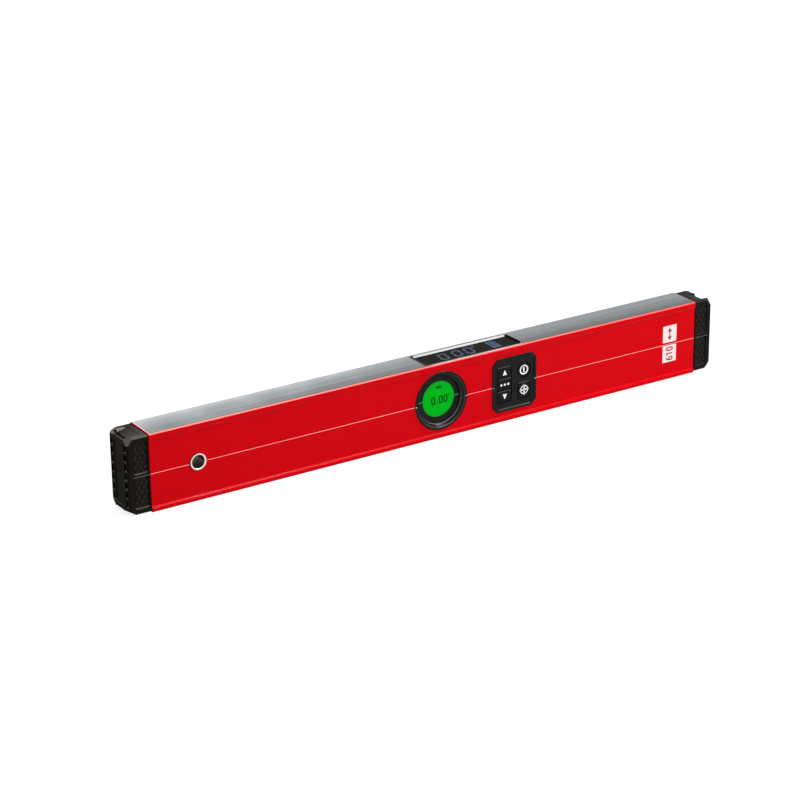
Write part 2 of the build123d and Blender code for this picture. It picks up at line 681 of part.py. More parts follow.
# Keypad: frame, seal and five keys
with BuildPart() as keypad_frame:
    with BuildSketch(front_face):
        with Locations((KEYPAD_X, mid_z)):
            add(keypad_outline)
    extrude(amount=KEYPAD_FLANGE)
    fillet(faces().sort_by(Axis.Y)[0].edges(), KEYPAD_EDGE)
    with BuildSketch(front_face):
        with Locations((KEYPAD_X, mid_z)):
            add(keypad_seal_outline)
    extrude(amount=SEAL_SECTION, mode=Mode.SUBTRACT)
    with BuildSketch(depth_plane(-face_y - SEAL_SECTION)):
        with Locations((KEYPAD_X, mid_z)):
            add(keypad_body_outline)
    extrude(amount=-(SEAL_SECTION + KEYPAD_DEPTH))
    with BuildSketch(depth_plane(-face_y - KEYPAD_FLANGE)):
        with Locations((KEYPAD_X, mid_z)):
            add(keypad_floor_outline)
    extrude(amount=-KEYPAD_SINK, mode=Mode.SUBTRACT)
    chamfer(faces().sort_by(Axis.Y)[0].inner_wires()[0].edges(), KEYPAD_BEVEL)
    with BuildSketch(depth_plane(keypad_back)):
        with Locations((column_x, mid_z)):
            RectangleRounded(KEY_COLUMN_WIDTH, KEY_COLUMN_HEIGHT, KEY_CORNER + KEY_GAP)
        with Locations((right_key_x, power_z)):
            Circle(POWER_RADIUS)
        with Locations((right_key_x, target_z)):
            RectangleRounded(TARGET_WIDTH, TARGET_HEIGHT, KEY_CORNER + KEY_GAP)
    extrude(amount=KEYPAD_DEPTH + KEYPAD_FLANGE, mode=Mode.SUBTRACT)
    with BuildSketch(depth_plane(keypad_back)):
        with Locations((KEYPAD_X, mid_z)):
            with GridLocations(2 * POST_X, 2 * post_z, 2, 2):
                Circle(POST_RADIUS)
    extrude(amount=-(board_front - keypad_back))
    with BuildSketch(depth_plane(board_front)):
        with Locations((KEYPAD_X, mid_z)):
            with GridLocations(2 * POST_X, 2 * post_z, 2, 2):
                Circle(POST_PIN_RADIUS)
    extrude(amount=-(BOARD_THICKNESS + CARRIER_WALL))
save(keypad_frame, "keypad_frame")

with BuildPart() as keypad_seal:
    with BuildSketch(front_face):
        with Locations((KEYPAD_X, mid_z)):
            add(inset(keypad_seal_outline, SEAT_GAP))
            add(keypad_hole_outline, mode=Mode.SUBTRACT)
    extrude(amount=SEAL_SECTION)
save(keypad_seal, "keypad_seal")

column_key_width = KEY_COLUMN_WIDTH - 2 * KEY_GAP
for key_name, key_row in (("up_key", 1), ("menu_key", 0), ("down_key", -1)):
    key_z = mid_z + key_row * column_key_pitch
    with BuildPart() as column_key:
        with BuildSketch(depth_plane(keypad_back)):
            with Locations((column_x, key_z)):
                RectangleRounded(column_key_width, column_key_height, KEY_CORNER)
        extrude(amount=keypad_back - key_top)
        chamfer(faces().sort_by(Axis.Y)[0].edges(), KEY_EDGE)
        with BuildSketch(depth_plane(keypad_back)):
            with Locations((column_x, key_z)):
                Rectangle(KEY_COLUMN_WIDTH + 2 * KEY_SKIRT_REACH, column_key_height)
        extrude(amount=-KEY_SKIRT)
        with BuildSketch(depth_plane(keypad_back + KEY_SKIRT)):
            with Locations((column_x, key_z)):
                Circle(KEY_STEM_RADIUS)
        extrude(amount=-(key_stem_end - keypad_back - KEY_SKIRT))
    save(column_key, key_name)

with BuildPart() as power_key:
    with BuildSketch(depth_plane(keypad_back)):
        with Locations((right_key_x, power_z)):
            Circle(POWER_RADIUS - KEY_GAP)
    extrude(amount=keypad_back - key_top)
    crown = faces().sort_by(Axis.Y)[0]
    chamfer(crown.edges(), KEY_EDGE)
    dish_reach = POWER_RADIUS - KEY_GAP - 2 * KEY_EDGE
    dish_radius = (dish_reach**2 + POWER_DISH**2) / (2 * POWER_DISH)
    with Locations((right_key_x, key_top + POWER_DISH - dish_radius, power_z)):
        Sphere(dish_radius, mode=Mode.SUBTRACT)
    with BuildSketch(depth_plane(keypad_back)):
        with Locations((right_key_x, power_z)):
            Circle(POWER_RADIUS + KEY_SKIRT_REACH)
    extrude(amount=-KEY_SKIRT)
    with BuildSketch(depth_plane(keypad_back + KEY_SKIRT)):
        with Locations((right_key_x, power_z)):
            Circle(KEY_STEM_RADIUS)
    extrude(amount=-(key_stem_end - keypad_back - KEY_SKIRT))
save(power_key, "power_key")

with BuildPart() as target_key:
    with BuildSketch(depth_plane(keypad_back)):
        with Locations((right_key_x, target_z)):
            RectangleRounded(TARGET_WIDTH - 2 * KEY_GAP, TARGET_HEIGHT - 2 * KEY_GAP, KEY_CORNER)
    extrude(amount=keypad_back - key_top)
    chamfer(faces().sort_by(Axis.Y)[0].edges(), KEY_EDGE)
    with BuildSketch(depth_plane(keypad_back)):
        with Locations((right_key_x, target_z)):
            Rectangle(TARGET_WIDTH + 2 * KEY_SKIRT_REACH, TARGET_HEIGHT - 2 * KEY_GAP)
    extrude(amount=-KEY_SKIRT)
    with BuildSketch(depth_plane(keypad_back + KEY_SKIRT)):
        with Locations((right_key_x, target_z)):
            Circle(KEY_STEM_RADIUS)
    extrude(amount=-(key_stem_end - keypad_back - KEY_SKIRT))
save(target_key, "target_key")


# Electronics on the front of the main board
with BuildPart() as main_board:
    with BuildSketch(depth_plane(board_front)):
        with Locations((carrier_x, (board_bottom + board_top) / 2)):
            RectangleRounded(board_length, board_height, BOARD_MARGIN)
        with Locations((DIAL_X, mid_z)):
            with PolarLocations((barrel_radius + lens_radius + SEAT_GAP) / 2, BEZEL_PINS, start_angle=45):
                Circle(BEZEL_PIN_RADIUS + PIN_GAP, mode=Mode.SUBTRACT)
        with Locations((KEYPAD_X, mid_z)):
            with GridLocations(2 * POST_X, 2 * post_z, 2, 2):
                Circle(POST_PIN_RADIUS + PIN_GAP, mode=Mode.SUBTRACT)
        with Locations(*[(tail_x, z) for z in tail_z]):
            Rectangle(CONTACT_SHEET + 2 * PIN_GAP, TAIL_WIDTH + 2 * PIN_GAP, mode=Mode.SUBTRACT)
    extrude(amount=-BOARD_THICKNESS)
save(main_board, "main_board")

with BuildPart() as tact_switches:
    with BuildSketch(depth_plane(board_front)):
        with Locations(*key_centres):
            Rectangle(SWITCH_SIZE, SWITCH_SIZE)
    extrude(amount=SWITCH_HEIGHT)
    with BuildSketch(depth_plane(board_front - SWITCH_HEIGHT)):
        with Locations(*key_centres):
            Circle(SWITCH_BUTTON_RADIUS)
    extrude(amount=SWITCH_BUTTON)
save(tact_switches, "tact_switches")

with BuildPart() as tilt_sensor:
    with BuildSketch(depth_plane(board_front)):
        with Locations((sensor_x, mid_z)):
            RectangleRounded(SENSOR_LENGTH, SENSOR_HEIGHT, SENSOR_CORNER)
    extrude(amount=SENSOR_DEPTH)
    fillet(faces().sort_by(Axis.Y)[0].edges(), SENSOR_CORNER / 2)
save(tilt_sensor, "tilt_sensor")

with BuildPart() as beeper:
    with BuildSketch(depth_plane(board_front)):
        with Locations((beeper_x, mid_z)):
            Circle(BEEPER_RADIUS)
    extrude(amount=BEEPER_DEPTH)
    with Locations(Plane(faces().sort_by(Axis.Y)[0])):
        Hole(BEEPER_PORT_RADIUS, depth=BEEPER_DEPTH / 2)
save(beeper, "beeper")

chip_z = (mid_z + board_bottom) / 2
with BuildPart() as controller_chip:
    with BuildSketch(depth_plane(board_front)):
        with Locations((ribbon_x, chip_z)):
            Rectangle(CHIP_SIZE, CHIP_SIZE)
    extrude(amount=CHIP_DEPTH)
    chamfer(faces().sort_by(Axis.Y)[0].edges(), CHIP_DEPTH / 4)
save(controller_chip, "controller_chip")

socket_top = board_top - SOCKET_HEIGHT / 2
socket_bottom = socket_top - SOCKET_HEIGHT
with BuildPart() as ribbon_socket:
    with BuildSketch(Plane.XY.offset(socket_bottom)):
        with Locations((ribbon_x, board_front - SOCKET_DEPTH / 2)):
            Rectangle(RIBBON_WIDTH + 2 * SOCKET_WALL, SOCKET_DEPTH)
    extrude(amount=SOCKET_HEIGHT)
    with BuildSketch(Plane.XY.offset(socket_top)):
        with Locations((ribbon_x, ribbon_y)):
            Rectangle(RIBBON_WIDTH + 2 * SEAT_GAP, RIBBON_THICKNESS + 2 * SEAT_GAP)
    extrude(amount=-SOCKET_HEIGHT / 2, mode=Mode.SUBTRACT)
save(ribbon_socket, "ribbon_socket")

# Flat ribbon from the socket up to a flap that is bonded under the top display
with BuildPart() as display_ribbon:
    with BuildSketch(Plane.YZ.offset(ribbon_x)):
        with Locations((ribbon_y, socket_top - SOCKET_HEIGHT / 2)):
            Rectangle(
                RIBBON_THICKNESS,
                top_lcd_bottom - socket_top + SOCKET_HEIGHT / 2,
                align=(Align.CENTER, Align.MIN),
            )
        with Locations((ribbon_y - RIBBON_THICKNESS / 2, top_lcd_bottom)):
            Rectangle(RIBBON_FLAP, RIBBON_THICKNESS, align=(Align.MIN, Align.MAX))
    extrude(amount=RIBBON_WIDTH / 2, both=True)
save(display_ribbon, "display_ribbon")


# Top display: window, seal, liquid crystal cell, light guide and the tray that carries them
with BuildPart() as top_window:
    with BuildSketch(Plane.XY.offset(lip_bottom)):
        with Locations((TOP_WINDOW_X, 0)):
            RectangleRounded(lip_length, 2 * top_half_width, TOP_WINDOW_CORNER)
    extrude(amount=TOP_LIP)
    with BuildSketch(Plane.XY.offset(lip_top)):
        with Locations((TOP_WINDOW_X, 0)):
            RectangleRounded(
                TOP_WINDOW_LENGTH - 2 * PASS_GAP,
                top_window_width - 2 * PASS_GAP,
                TOP_WINDOW_CORNER - PASS_GAP,
            )
    extrude(amount=BEAM_HEIGHT - TOP_WINDOW_SINK - lip_top)
save(top_window, "top_window")

with BuildPart() as top_window_seal:
    with BuildSketch(Plane.XY.offset(lip_top)):
        with Locations((TOP_WINDOW_X, 0)):
            RectangleRounded(lip_length, 2 * top_half_width, TOP_WINDOW_CORNER)
            RectangleRounded(
                TOP_WINDOW_LENGTH, top_window_width, TOP_WINDOW_CORNER, mode=Mode.SUBTRACT
            )
    extrude(amount=TOP_SEAL)
save(top_window_seal, "top_window_seal")

with BuildPart() as top_lcd:
    with BuildSketch(Plane.XY.offset(top_lcd_bottom)):
        with Locations((TOP_WINDOW_X, 0)):
            Rectangle(top_lcd_length, top_lcd_width)
    extrude(amount=TOP_LCD_THICKNESS)
save(top_lcd, "top_lcd")

with BuildPart() as top_light_guide:
    with BuildSketch(Plane.XY.offset(top_light_bottom)):
        with Locations((TOP_WINDOW_X, RIBBON_LEDGE / 2)):
            Rectangle(top_lcd_length, top_lcd_width - RIBBON_LEDGE)
    extrude(amount=TOP_LIGHT_THICKNESS)
save(top_light_guide, "top_light_guide")

ribbon_slot_front = -top_lcd_width / 2
ribbon_slot_depth = RIBBON_LEDGE - SEAT_GAP
with BuildPart() as top_display_tray:
    with BuildSketch(Plane.XY.offset(tray_bottom)):
        with Locations((TOP_WINDOW_X, 0)):
            RectangleRounded(lip_length, 2 * top_half_width, TOP_WINDOW_CORNER)
    extrude(amount=lip_bottom - tray_bottom)
    with BuildSketch(Plane.XY.offset(top_light_bottom)):
        with Locations((TOP_WINDOW_X, 0)):
            Rectangle(top_lcd_length + 2 * SEAT_GAP, top_lcd_width + 2 * SEAT_GAP)
    extrude(amount=lip_bottom - top_light_bottom, mode=Mode.SUBTRACT)
    with BuildSketch(Plane.XY.offset(tray_bottom)):
        with Locations((ribbon_x, ribbon_slot_front)):
            Rectangle(
                RIBBON_WIDTH + 2 * PASS_GAP, ribbon_slot_depth, align=(Align.CENTER, Align.MIN)
            )
    extrude(amount=TRAY_FLOOR, mode=Mode.SUBTRACT)
save(top_display_tray, "top_display_tray")


# Carrier: back plate, foot, shelf, battery bay and screw bosses in one moulding
with BuildPart() as module_carrier:
    with BuildSketch(depth_plane(board_back)):
        with Locations((carrier_x, (floor_z + tray_bottom) / 2)):
            Rectangle(carrier_length, tray_bottom - floor_z)
        for hole_x in (DIAL_X, KEYPAD_X):
            with Locations((hole_x, mid_z)):
                RectangleRounded(
                    lens_radius, lens_radius, WINDOW_FILLET, mode=Mode.SUBTRACT
                )
    extrude(amount=-CARRIER_WALL)
    with BuildSketch(Plane.XY.offset(floor_z)):
        with Locations((carrier_x, 0)):
            Rectangle(carrier_length, 2 * top_half_width)
    extrude(amount=CARRIER_WALL)
    with BuildSketch(Plane.XY.offset(tray_bottom)):
        with Locations((TOP_WINDOW_X, board_back)):
            Rectangle(lip_length, top_half_width - board_back, align=(Align.CENTER, Align.MIN))
    extrude(amount=-CARRIER_WALL)
    for gusset_x in (-1, 0, 1):
        with BuildSketch(Plane.YZ.offset(TOP_WINDOW_X + gusset_x * (lip_length - CARRIER_WALL) / 2)):
            with BuildLine():
                Polyline(
                    (plate_back, tray_bottom - CARRIER_WALL),
                    (plate_back + GUSSET_REACH, tray_bottom - CARRIER_WALL),
                    (plate_back, tray_bottom - CARRIER_WALL - GUSSET_REACH),
                    close=True,
                )
            make_face()
        extrude(amount=CARRIER_WALL / 2, both=True)
    with BuildSketch(depth_plane(board_back)):
        with Locations((BAY_X, mid_z)):
            Rectangle(bay_length + 2 * BAY_WALL, bay_height + 2 * BAY_WALL)
    extrude(amount=-(bay_rim - board_back))
    with BuildSketch(depth_plane(bay_floor)):
        with Locations((BAY_X, mid_z)):
            Rectangle(bay_length, bay_height)
    extrude(amount=-(bay_rim - bay_floor), mode=Mode.SUBTRACT)
    with BuildSketch(depth_plane(board_back)):
        with Locations((BAY_X - boss_offset, mid_z), (BAY_X + boss_offset, mid_z)):
            Circle(BOSS_RADIUS)
    extrude(amount=-(cover_inside - board_back))
    with Locations(
        *[
            Plane((BAY_X + side * boss_offset, cover_inside, mid_z), x_dir=(1, 0, 0), z_dir=(0, 1, 0))
            for side in (-1, 1)
        ]
    ):
        Hole(SCREW_RADIUS + PIN_GAP, depth=SCREW_LENGTH + BOSS_MARGIN)
    with BuildSketch(depth_plane(board_back)):
        with Locations((DIAL_X, mid_z)):
            with PolarLocations((barrel_radius + lens_radius + SEAT_GAP) / 2, BEZEL_PINS, start_angle=45):
                Circle(BEZEL_PIN_RADIUS + PIN_GAP)
        with Locations((KEYPAD_X, mid_z)):
            with GridLocations(2 * POST_X, 2 * post_z, 2, 2):
                Circle(POST_PIN_RADIUS + PIN_GAP)
    extrude(amount=-CARRIER_WALL, mode=Mode.SUBTRACT)
    with BuildSketch(depth_plane(board_back)):
        with Locations(*[(tail_x, z) for z in tail_z]):
            Rectangle(CONTACT_SHEET + 2 * PIN_GAP, TAIL_WIDTH + 2 * PIN_GAP)
    extrude(amount=-(bay_floor - board_back), mode=Mode.SUBTRACT)
save(module_carrier, "module_carrier")


# Battery: two cells that point opposite ways, their contacts, and the sealed cover
with BuildPart() as battery_cells:
    for cell_z, nub_side in ((mid_z + cell_rise, 1), (mid_z - cell_rise, -1)):
        nub_end = BAY_X + nub_side * CELL_LENGTH / 2
        shoulder = nub_end - nub_side * CELL_NUB
        flat_end = BAY_X - nub_side * CELL_LENGTH / 2
        with BuildSketch(Plane((0, cell_y, cell_z), x_dir=(1, 0, 0), z_dir=(0, 0, 1))):
            with BuildLine():
                Polyline(
                    (flat_end, 0),
                    (flat_end, CELL_RADIUS - CELL_EDGE),
                    (flat_end + nub_side * CELL_EDGE, CELL_RADIUS),
                    (shoulder - nub_side * CELL_EDGE, CELL_RADIUS),
                    (shoulder, CELL_RADIUS - CELL_EDGE),
                    (shoulder, CELL_NUB_RADIUS),
                    (nub_end, CELL_NUB_RADIUS),
                    (nub_end, 0),
                    close=True,
                )
            make_face()
        revolve(axis=Axis((0, cell_y, cell_z), (1, 0, 0)))
save(battery_cells, "battery_cells")


def leaf_profile(wall_x, cell_end, outward):
    """Bent strip from the bay's end wall to a flat crest on the cell's end, seen from above."""
    sheet_x = wall_x + outward * CONTACT_SHEET / 2
    crest_x = cell_end - outward * CONTACT_SHEET / 2
    with BuildSketch(mode=Mode.PRIVATE) as strip:
        with BuildLine() as path:
            Polyline(
                (sheet_x, cell_y - CONTACT_FOOT),
                (crest_x, cell_y - CONTACT_CREST / 2),
                (crest_x, cell_y + CONTACT_CREST / 2),
                (sheet_x + outward * CONTACT_SHEET, cell_y + CONTACT_FOOT),
            )
        trace(path.line, CONTACT_SHEET)
    return strip.sketch


left_leaf = leaf_profile(bay_left, BAY_X - CELL_LENGTH / 2, 1)
right_leaf = leaf_profile(bay_right, BAY_X + CELL_LENGTH / 2, -1)
sheet_depth = 2 * CONTACT_FOOT + CONTACT_SHEET
with BuildPart() as battery_contacts:
    # Left end: a leaf for the upper cell and a button plate for the lower one, each with a tail
    with BuildSketch(Plane.YZ.offset(bay_left)):
        with Locations((cell_y, tail_z[0]), (cell_y, tail_z[1])):
            Rectangle(sheet_depth, CONTACT_WIDTH)
        with Locations((board_front, tail_z[0]), (board_front, tail_z[1])):
            Rectangle(cell_y - board_front, TAIL_WIDTH, align=(Align.MIN, Align.CENTER))
    extrude(amount=CONTACT_SHEET)
    with BuildSketch(Plane.YZ.offset(bay_left)):
        with Locations((cell_y, tail_z[1])):
            Circle(CONTACT_BUTTON_RADIUS)
    extrude(amount=CONTACT_SPACE)
    with BuildSketch(Plane.XY.offset(tail_z[0])):
        add(left_leaf)
    extrude(amount=CONTACT_WIDTH / 2, both=True)
    # Right end: one strap that links the upper cell's button to the lower cell's leaf
    with BuildSketch(Plane.YZ.offset(bay_right)):
        with Locations((cell_y, mid_z)):
            Rectangle(sheet_depth, 2 * cell_rise + CONTACT_WIDTH)
    extrude(amount=-CONTACT_SHEET)
    with BuildSketch(Plane.YZ.offset(bay_right)):
        with Locations((cell_y, tail_z[0])):
            Circle(CONTACT_BUTTON_RADIUS)
    extrude(amount=-CONTACT_SPACE)
    with BuildSketch(Plane.XY.offset(tail_z[1])):
        add(right_leaf)
    extrude(amount=CONTACT_WIDTH / 2, both=True)
save(battery_contacts, "battery_contacts")

with BuildPart() as battery_cover_seal:
    with BuildSketch(depth_plane(bay_rim)):
        with Locations((BAY_X, mid_z)):
            Rectangle(bay_length + 2 * BAY_WALL, bay_height + 2 * BAY_WALL)
            Rectangle(bay_length, bay_height, mode=Mode.SUBTRACT)
    extrude(amount=-COVER_SEAL)
save(battery_cover_seal, "battery_cover_seal")

cover_length = bay_opening_length + 2 * COVER_LIP
cover_height = bay_opening_height + 2 * COVER_LIP
with BuildPart() as battery_cover:
    with BuildSketch(back_face):
        with Locations((BAY_X, mid_z)):
            RectangleRounded(cover_length, cover_height, COVER_CORNER + COVER_LIP)
    extrude(amount=-COVER_FLANGE)
    chamfer(faces().sort_by(Axis.Y)[-1].edges(), COVER_EDGE)
    with BuildSketch(depth_plane(cover_inside)):
        with Locations((BAY_X, mid_z)):
            RectangleRounded(
                bay_opening_length - 2 * PASS_GAP,
                bay_opening_height - 2 * PASS_GAP,
                cover_opening_corner,
            )
    extrude(amount=-(face_y - cover_inside))
    with BuildSketch(back_face):
        with Locations((BAY_X, mid_z + cover_height / 2 + COVER_SCALLOP_RADIUS - COVER_SCALLOP_DEPTH)):
            Circle(COVER_SCALLOP_RADIUS)
    extrude(amount=-COVER_FLANGE, mode=Mode.SUBTRACT)
    with Locations(
        *[
            Plane((BAY_X + side * boss_offset, cover_outside, mid_z), x_dir=(1, 0, 0), z_dir=(0, 1, 0))
            for side in (-1, 1)
        ]
    ):
        CounterBoreHole(
            radius=SCREW_RADIUS + PASS_GAP,
            counter_bore_radius=SCREW_HEAD_RADIUS + PASS_GAP,
            counter_bore_depth=SCREW_HEAD,
        )
save(battery_cover, "battery_cover")

with BuildPart() as battery_cover_screws:
    head_seat = cover_outside - SCREW_HEAD
    screw_places = [(BAY_X - boss_offset, mid_z), (BAY_X + boss_offset, mid_z)]
    with BuildSketch(depth_plane(head_seat)):
        with Locations(*screw_places):
            Circle(SCREW_HEAD_RADIUS)
    extrude(amount=-SCREW_HEAD)
    with BuildSketch(depth_plane(head_seat)):
        with Locations(*screw_places):
            Circle(SCREW_RADIUS)
    extrude(amount=SCREW_LENGTH)
    with BuildSketch(depth_plane(cover_outside)):
        with Locations(*screw_places):
            Rectangle(2 * SCREW_HEAD_RADIUS, SCREW_SLOT)
    extrude(amount=SCREW_SLOT_DEPTH, mode=Mode.SUBTRACT)
save(battery_cover_screws, "battery_cover_screws")
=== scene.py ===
# %% [markdown]
# # A digital spirit level, dressed for its picture
# The construction is already there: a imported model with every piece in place, in metres. This lesson gives
# the pieces their finishes, adds what is printed, lit or embossed on them, and sets up the studio.

import bpy
import numpy as np
from mathutils import Matrix, Vector


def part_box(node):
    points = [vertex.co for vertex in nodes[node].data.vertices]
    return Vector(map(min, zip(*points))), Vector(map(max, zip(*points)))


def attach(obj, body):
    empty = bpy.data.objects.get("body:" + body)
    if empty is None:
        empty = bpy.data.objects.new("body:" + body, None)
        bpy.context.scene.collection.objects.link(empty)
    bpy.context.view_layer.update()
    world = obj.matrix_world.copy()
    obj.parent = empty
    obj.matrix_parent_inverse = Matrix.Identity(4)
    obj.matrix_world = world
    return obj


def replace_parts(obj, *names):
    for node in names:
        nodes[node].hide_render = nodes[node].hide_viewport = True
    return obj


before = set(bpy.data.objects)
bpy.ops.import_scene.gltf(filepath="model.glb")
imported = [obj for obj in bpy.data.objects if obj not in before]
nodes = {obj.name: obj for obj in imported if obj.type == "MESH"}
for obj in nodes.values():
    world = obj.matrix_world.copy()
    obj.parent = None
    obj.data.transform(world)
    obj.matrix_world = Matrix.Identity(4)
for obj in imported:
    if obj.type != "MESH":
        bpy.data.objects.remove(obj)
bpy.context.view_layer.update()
MM = 0.001

# %% [markdown]
# ## Small tools for shader trees
# A material in Blender is a graph of nodes. A small class holds the output of a node, so that formulas can
# be written with it: each sum, product or comparison adds a Math node. Helpers add the other kinds of node
# that come back, such as mixes, ramps, noise and the place of a point. Colours are picked on a screen and
# turned into light values.

# %% Outputs of nodes
def operator(operation, turned=False):
    """A method for outputs that adds a Math node. Turned round, it takes the output as second operand."""
    def method(output, other=0.0):
        return math_node(operation, other, output) if turned else math_node(operation, output, other)
    return method


class Output:
    """The output of a node. Arithmetic with it adds a Math node, and a comparison gives 1 where it holds."""

    def __init__(self, socket):
        self.socket = socket
        self.tree = socket.id_data

    __abs__ = operator("ABSOLUTE")
    __add__ = operator("ADD")
    __sub__ = operator("SUBTRACT")
    __rsub__ = operator("SUBTRACT", turned=True)
    __mul__ = operator("MULTIPLY")
    __truediv__ = operator("DIVIDE")
    __rtruediv__ = operator("DIVIDE", turned=True)
    __gt__ = operator("GREATER_THAN")
    __lt__ = operator("LESS_THAN")


def screen_colour(red, green, blue):
    """A colour picked on a screen, 0 to 255 each, as the linear light values that shaders use."""
    share = np.array([red, green, blue]) / 255
    low = share / 12.92
    high = ((share + 0.055) / 1.055) ** 2.4
    return (*np.where(share <= 0.04045, low, high).tolist(), 1.0)


def set_inputs(sockets, values):
    """Sets sockets by name: a link where the value is an output, and otherwise a constant. Three numbers for
    a colour are a colour picked on a screen."""
    for name, value in values.items():
        socket = sockets[name]
        if isinstance(value, Output):
            value.tree.links.new(value.socket, socket)
        else:
            on_screen = socket.type == "RGBA" and len(value) == 3
            socket.default_value = screen_colour(*value) if on_screen else value


def add_node(tree, kind, inputs, **settings):
    """Adds a shader node with those inputs and properties, and returns its outputs by name."""
    node = tree.nodes.new(f"ShaderNode{kind}")
    for name, value in settings.items():
        setattr(node, name, value)
    set_inputs(node.inputs, inputs)
    return {socket.name: Output(socket) for socket in node.outputs if socket.enabled}


def math_node(operation, first, second):
    """The result of an operation on two outputs, or on an output and a number."""
    tree = first.tree if isinstance(first, Output) else second.tree
    return add_node(tree, "Math", {0: first, 1: second}, operation=operation)["Value"]


# %% Shader helpers
def mix(mask, under, over):
    """What lies under the mask where it is 0, and over it where it is 1: two colours or two values."""
    colours = isinstance(over, tuple) or isinstance(over, Output) and over.socket.type == "RGBA"
    inputs = {"Factor": mask, "A": under, "B": over}
    return add_node(mask.tree, "Mix", inputs, data_type="RGBA" if colours else "FLOAT")["Result"]


def ramp(value, low, high, way="LINEAR"):
    """0 where the value is low, 1 where it is high, and a straight or a smooth way up between them."""
    ends = {"Value": value, "From Min": low, "From Max": high}
    return add_node(value.tree, "MapRange", ends, interpolation_type=way)["Result"]


def noise(place, scale, detail=2.0):
    """Soft noise round one half, finer with a larger scale, and rougher with more detail."""
    return add_node(place.tree, "TexNoise", {"Vector": place, "Scale": scale, "Detail": detail})["Fac"]


def object_place(tree):
    """The place of a point in Object coordinates."""
    return add_node(tree, "TexCoord", {})["Object"]


def axes(place):
    """The three coordinates of a place or a normal."""
    return list(add_node(place.tree, "SeparateXYZ", {"Vector": place}).values())


def stretched(place, factors):
    """A place, times a factor for each axis."""
    return add_node(place.tree, "VectorMath", {0: place, 1: factors}, operation="MULTIPLY")["Vector"]


def distance(place, middle):
    """The distance of a place from a middle."""
    return add_node(place.tree, "VectorMath", {0: place, 1: middle}, operation="DISTANCE")["Value"]


def from_axis(place, middle):
    """The distance of a place from the axis along Y through a middle."""
    on_axis = {"X": middle.x, "Y": axes(place)[1], "Z": middle.z}
    return distance(place, add_node(place.tree, "CombineXYZ", on_axis)["Vector"])


def bump(height, depth_mm):
    """The normal of a surface with that height pattern, whose full depth is given in millimetres."""
    inputs = {"Height": height, "Distance": depth_mm * MM, "Strength": 1.0}
    return add_node(height.tree, "Bump", inputs)["Normal"]


# %% [markdown]
# ## Groups and materials
# A node group and a material are both made from a function that draws their nodes and returns what goes into
# their last node, so each finish below is one such function. Every node of the model wears a finish, hidden
# ones too, because covers come off and other people may take the level apart.

# %% Makers
materials = {}
dressed = []


def scaled(colour, factor):
    """The light values of a colour picked on a screen, times a factor."""
    return (*[channel * factor for channel in screen_colour(*colour)[:3]], 1.0)


def make_group(name, draw, **sizes):
    """A shader node group whose float inputs are those sizes, and whose outputs are what draw returns."""
    group = bpy.data.node_groups.new(name, "ShaderNodeTree")
    for label, value in sizes.items():
        socket = group.interface.new_socket(label, in_out="INPUT", socket_type="NodeSocketFloat")
        socket.default_value = value
    given = group.nodes.new("NodeGroupInput").outputs
    made = draw(group, **{label: Output(given[label]) for label in sizes})
    for label in made:
        group.interface.new_socket(label, in_out="OUTPUT", socket_type="NodeSocketFloat")
    set_inputs(group.nodes.new("NodeGroupOutput").inputs, made)
    return group


def use_group(tree, group, **sizes):
    """Places a group in a tree and returns its outputs by name."""
    return add_node(tree, "Group", sizes, node_tree=group)


def empty_tree(owner):
    """The emptied node tree of a material or a world."""
    owner.use_nodes = True
    owner.node_tree.nodes.clear()
    return owner.node_tree


def make_material(name, wearers, draw, *given):
    """A material with one Principled shader, whose sockets get what draw returns. It is kept by its name,
    and put on the nodes that wear it."""
    materials[name] = bpy.data.materials.new(name)
    tree = empty_tree(materials[name])
    shader = add_node(tree, "BsdfPrincipled", draw(tree, *given))["BSDF"]
    add_node(tree, "OutputMaterial", {"Surface": shader})
    for wearer in wearers.split():
        nodes[wearer].data.materials.clear()
        nodes[wearer].data.materials.append(materials[name])
        dressed.append(wearer)


def middle_and_half(box):
    """The middle of a box and half its size, from its two corners."""
    low, high = box
    return (low + high) / 2, (high - low) / 2


# %% [markdown]
# ## Surface effects that several finishes share
# Moulded rubber and plastic have a fine even grain. Cut metal has lines along the way the tool went.
# Everything that is handled has soft patches where the gloss changes. Black rubber is painted grey where
# light from above would fall, a painted highlight: on slopes, most at the back, on the floors of pockets,
# and a little on level tops. A display is a grid of square cells. Each effect is a node group, so that every
# material can use it at its own scale.

# %% Shared effect groups
SLOW_SCALE = 60.0
SPECK_SCALE = 700.0
POCKET_DEPTH = 4.5 * MM
POCKET_MARGIN = 5.0 * MM
TOPS_HALF = 13.0 * MM
OUTER_EDGE = 15.4 * MM
FRONT_TOPS = 0.3
FRONT_SLOPES = 0.6
EDGE_SLOPES = 0.4
CELL_PITCH = 0.4 * MM
CELL_LINE = 0.032 * MM
cap_low, cap_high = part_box("left_end_cap")


def draw_grain(group, grain_mm):
    """Fine noise for the grain itself, and the same noise much larger for slow changes of shade."""
    place = object_place(group)
    return {"Height": noise(place, 1 / MM / grain_mm), "Shade": noise(place, SLOW_SCALE, 3.0)}


def draw_cut_lines(group, width_mm, length_mm):
    """Noise that is drawn out along X, so that it reads as fine lines from a cutter that travels that way,
    and the same noise larger, with its middle tones pulled apart, for the shade."""
    across = 1 / MM / width_mm
    factors = add_node(group, "CombineXYZ", {"X": 1 / MM / length_mm, "Y": across, "Z": across})["Vector"]
    drawn = stretched(object_place(group), factors)
    return {"Height": noise(drawn, 1.0, 3.0), "Shade": ramp(noise(drawn, 0.12, 4.0), 0.3, 0.7)}


def draw_marks(group, patch_mm):
    """Soft patches of about that size, with their middle tones pulled apart."""
    patches = noise(object_place(group), 1 / MM / patch_mm, 5.0)
    return {"Mask": ramp(patches, 0.35, 0.65, "SMOOTHSTEP")}


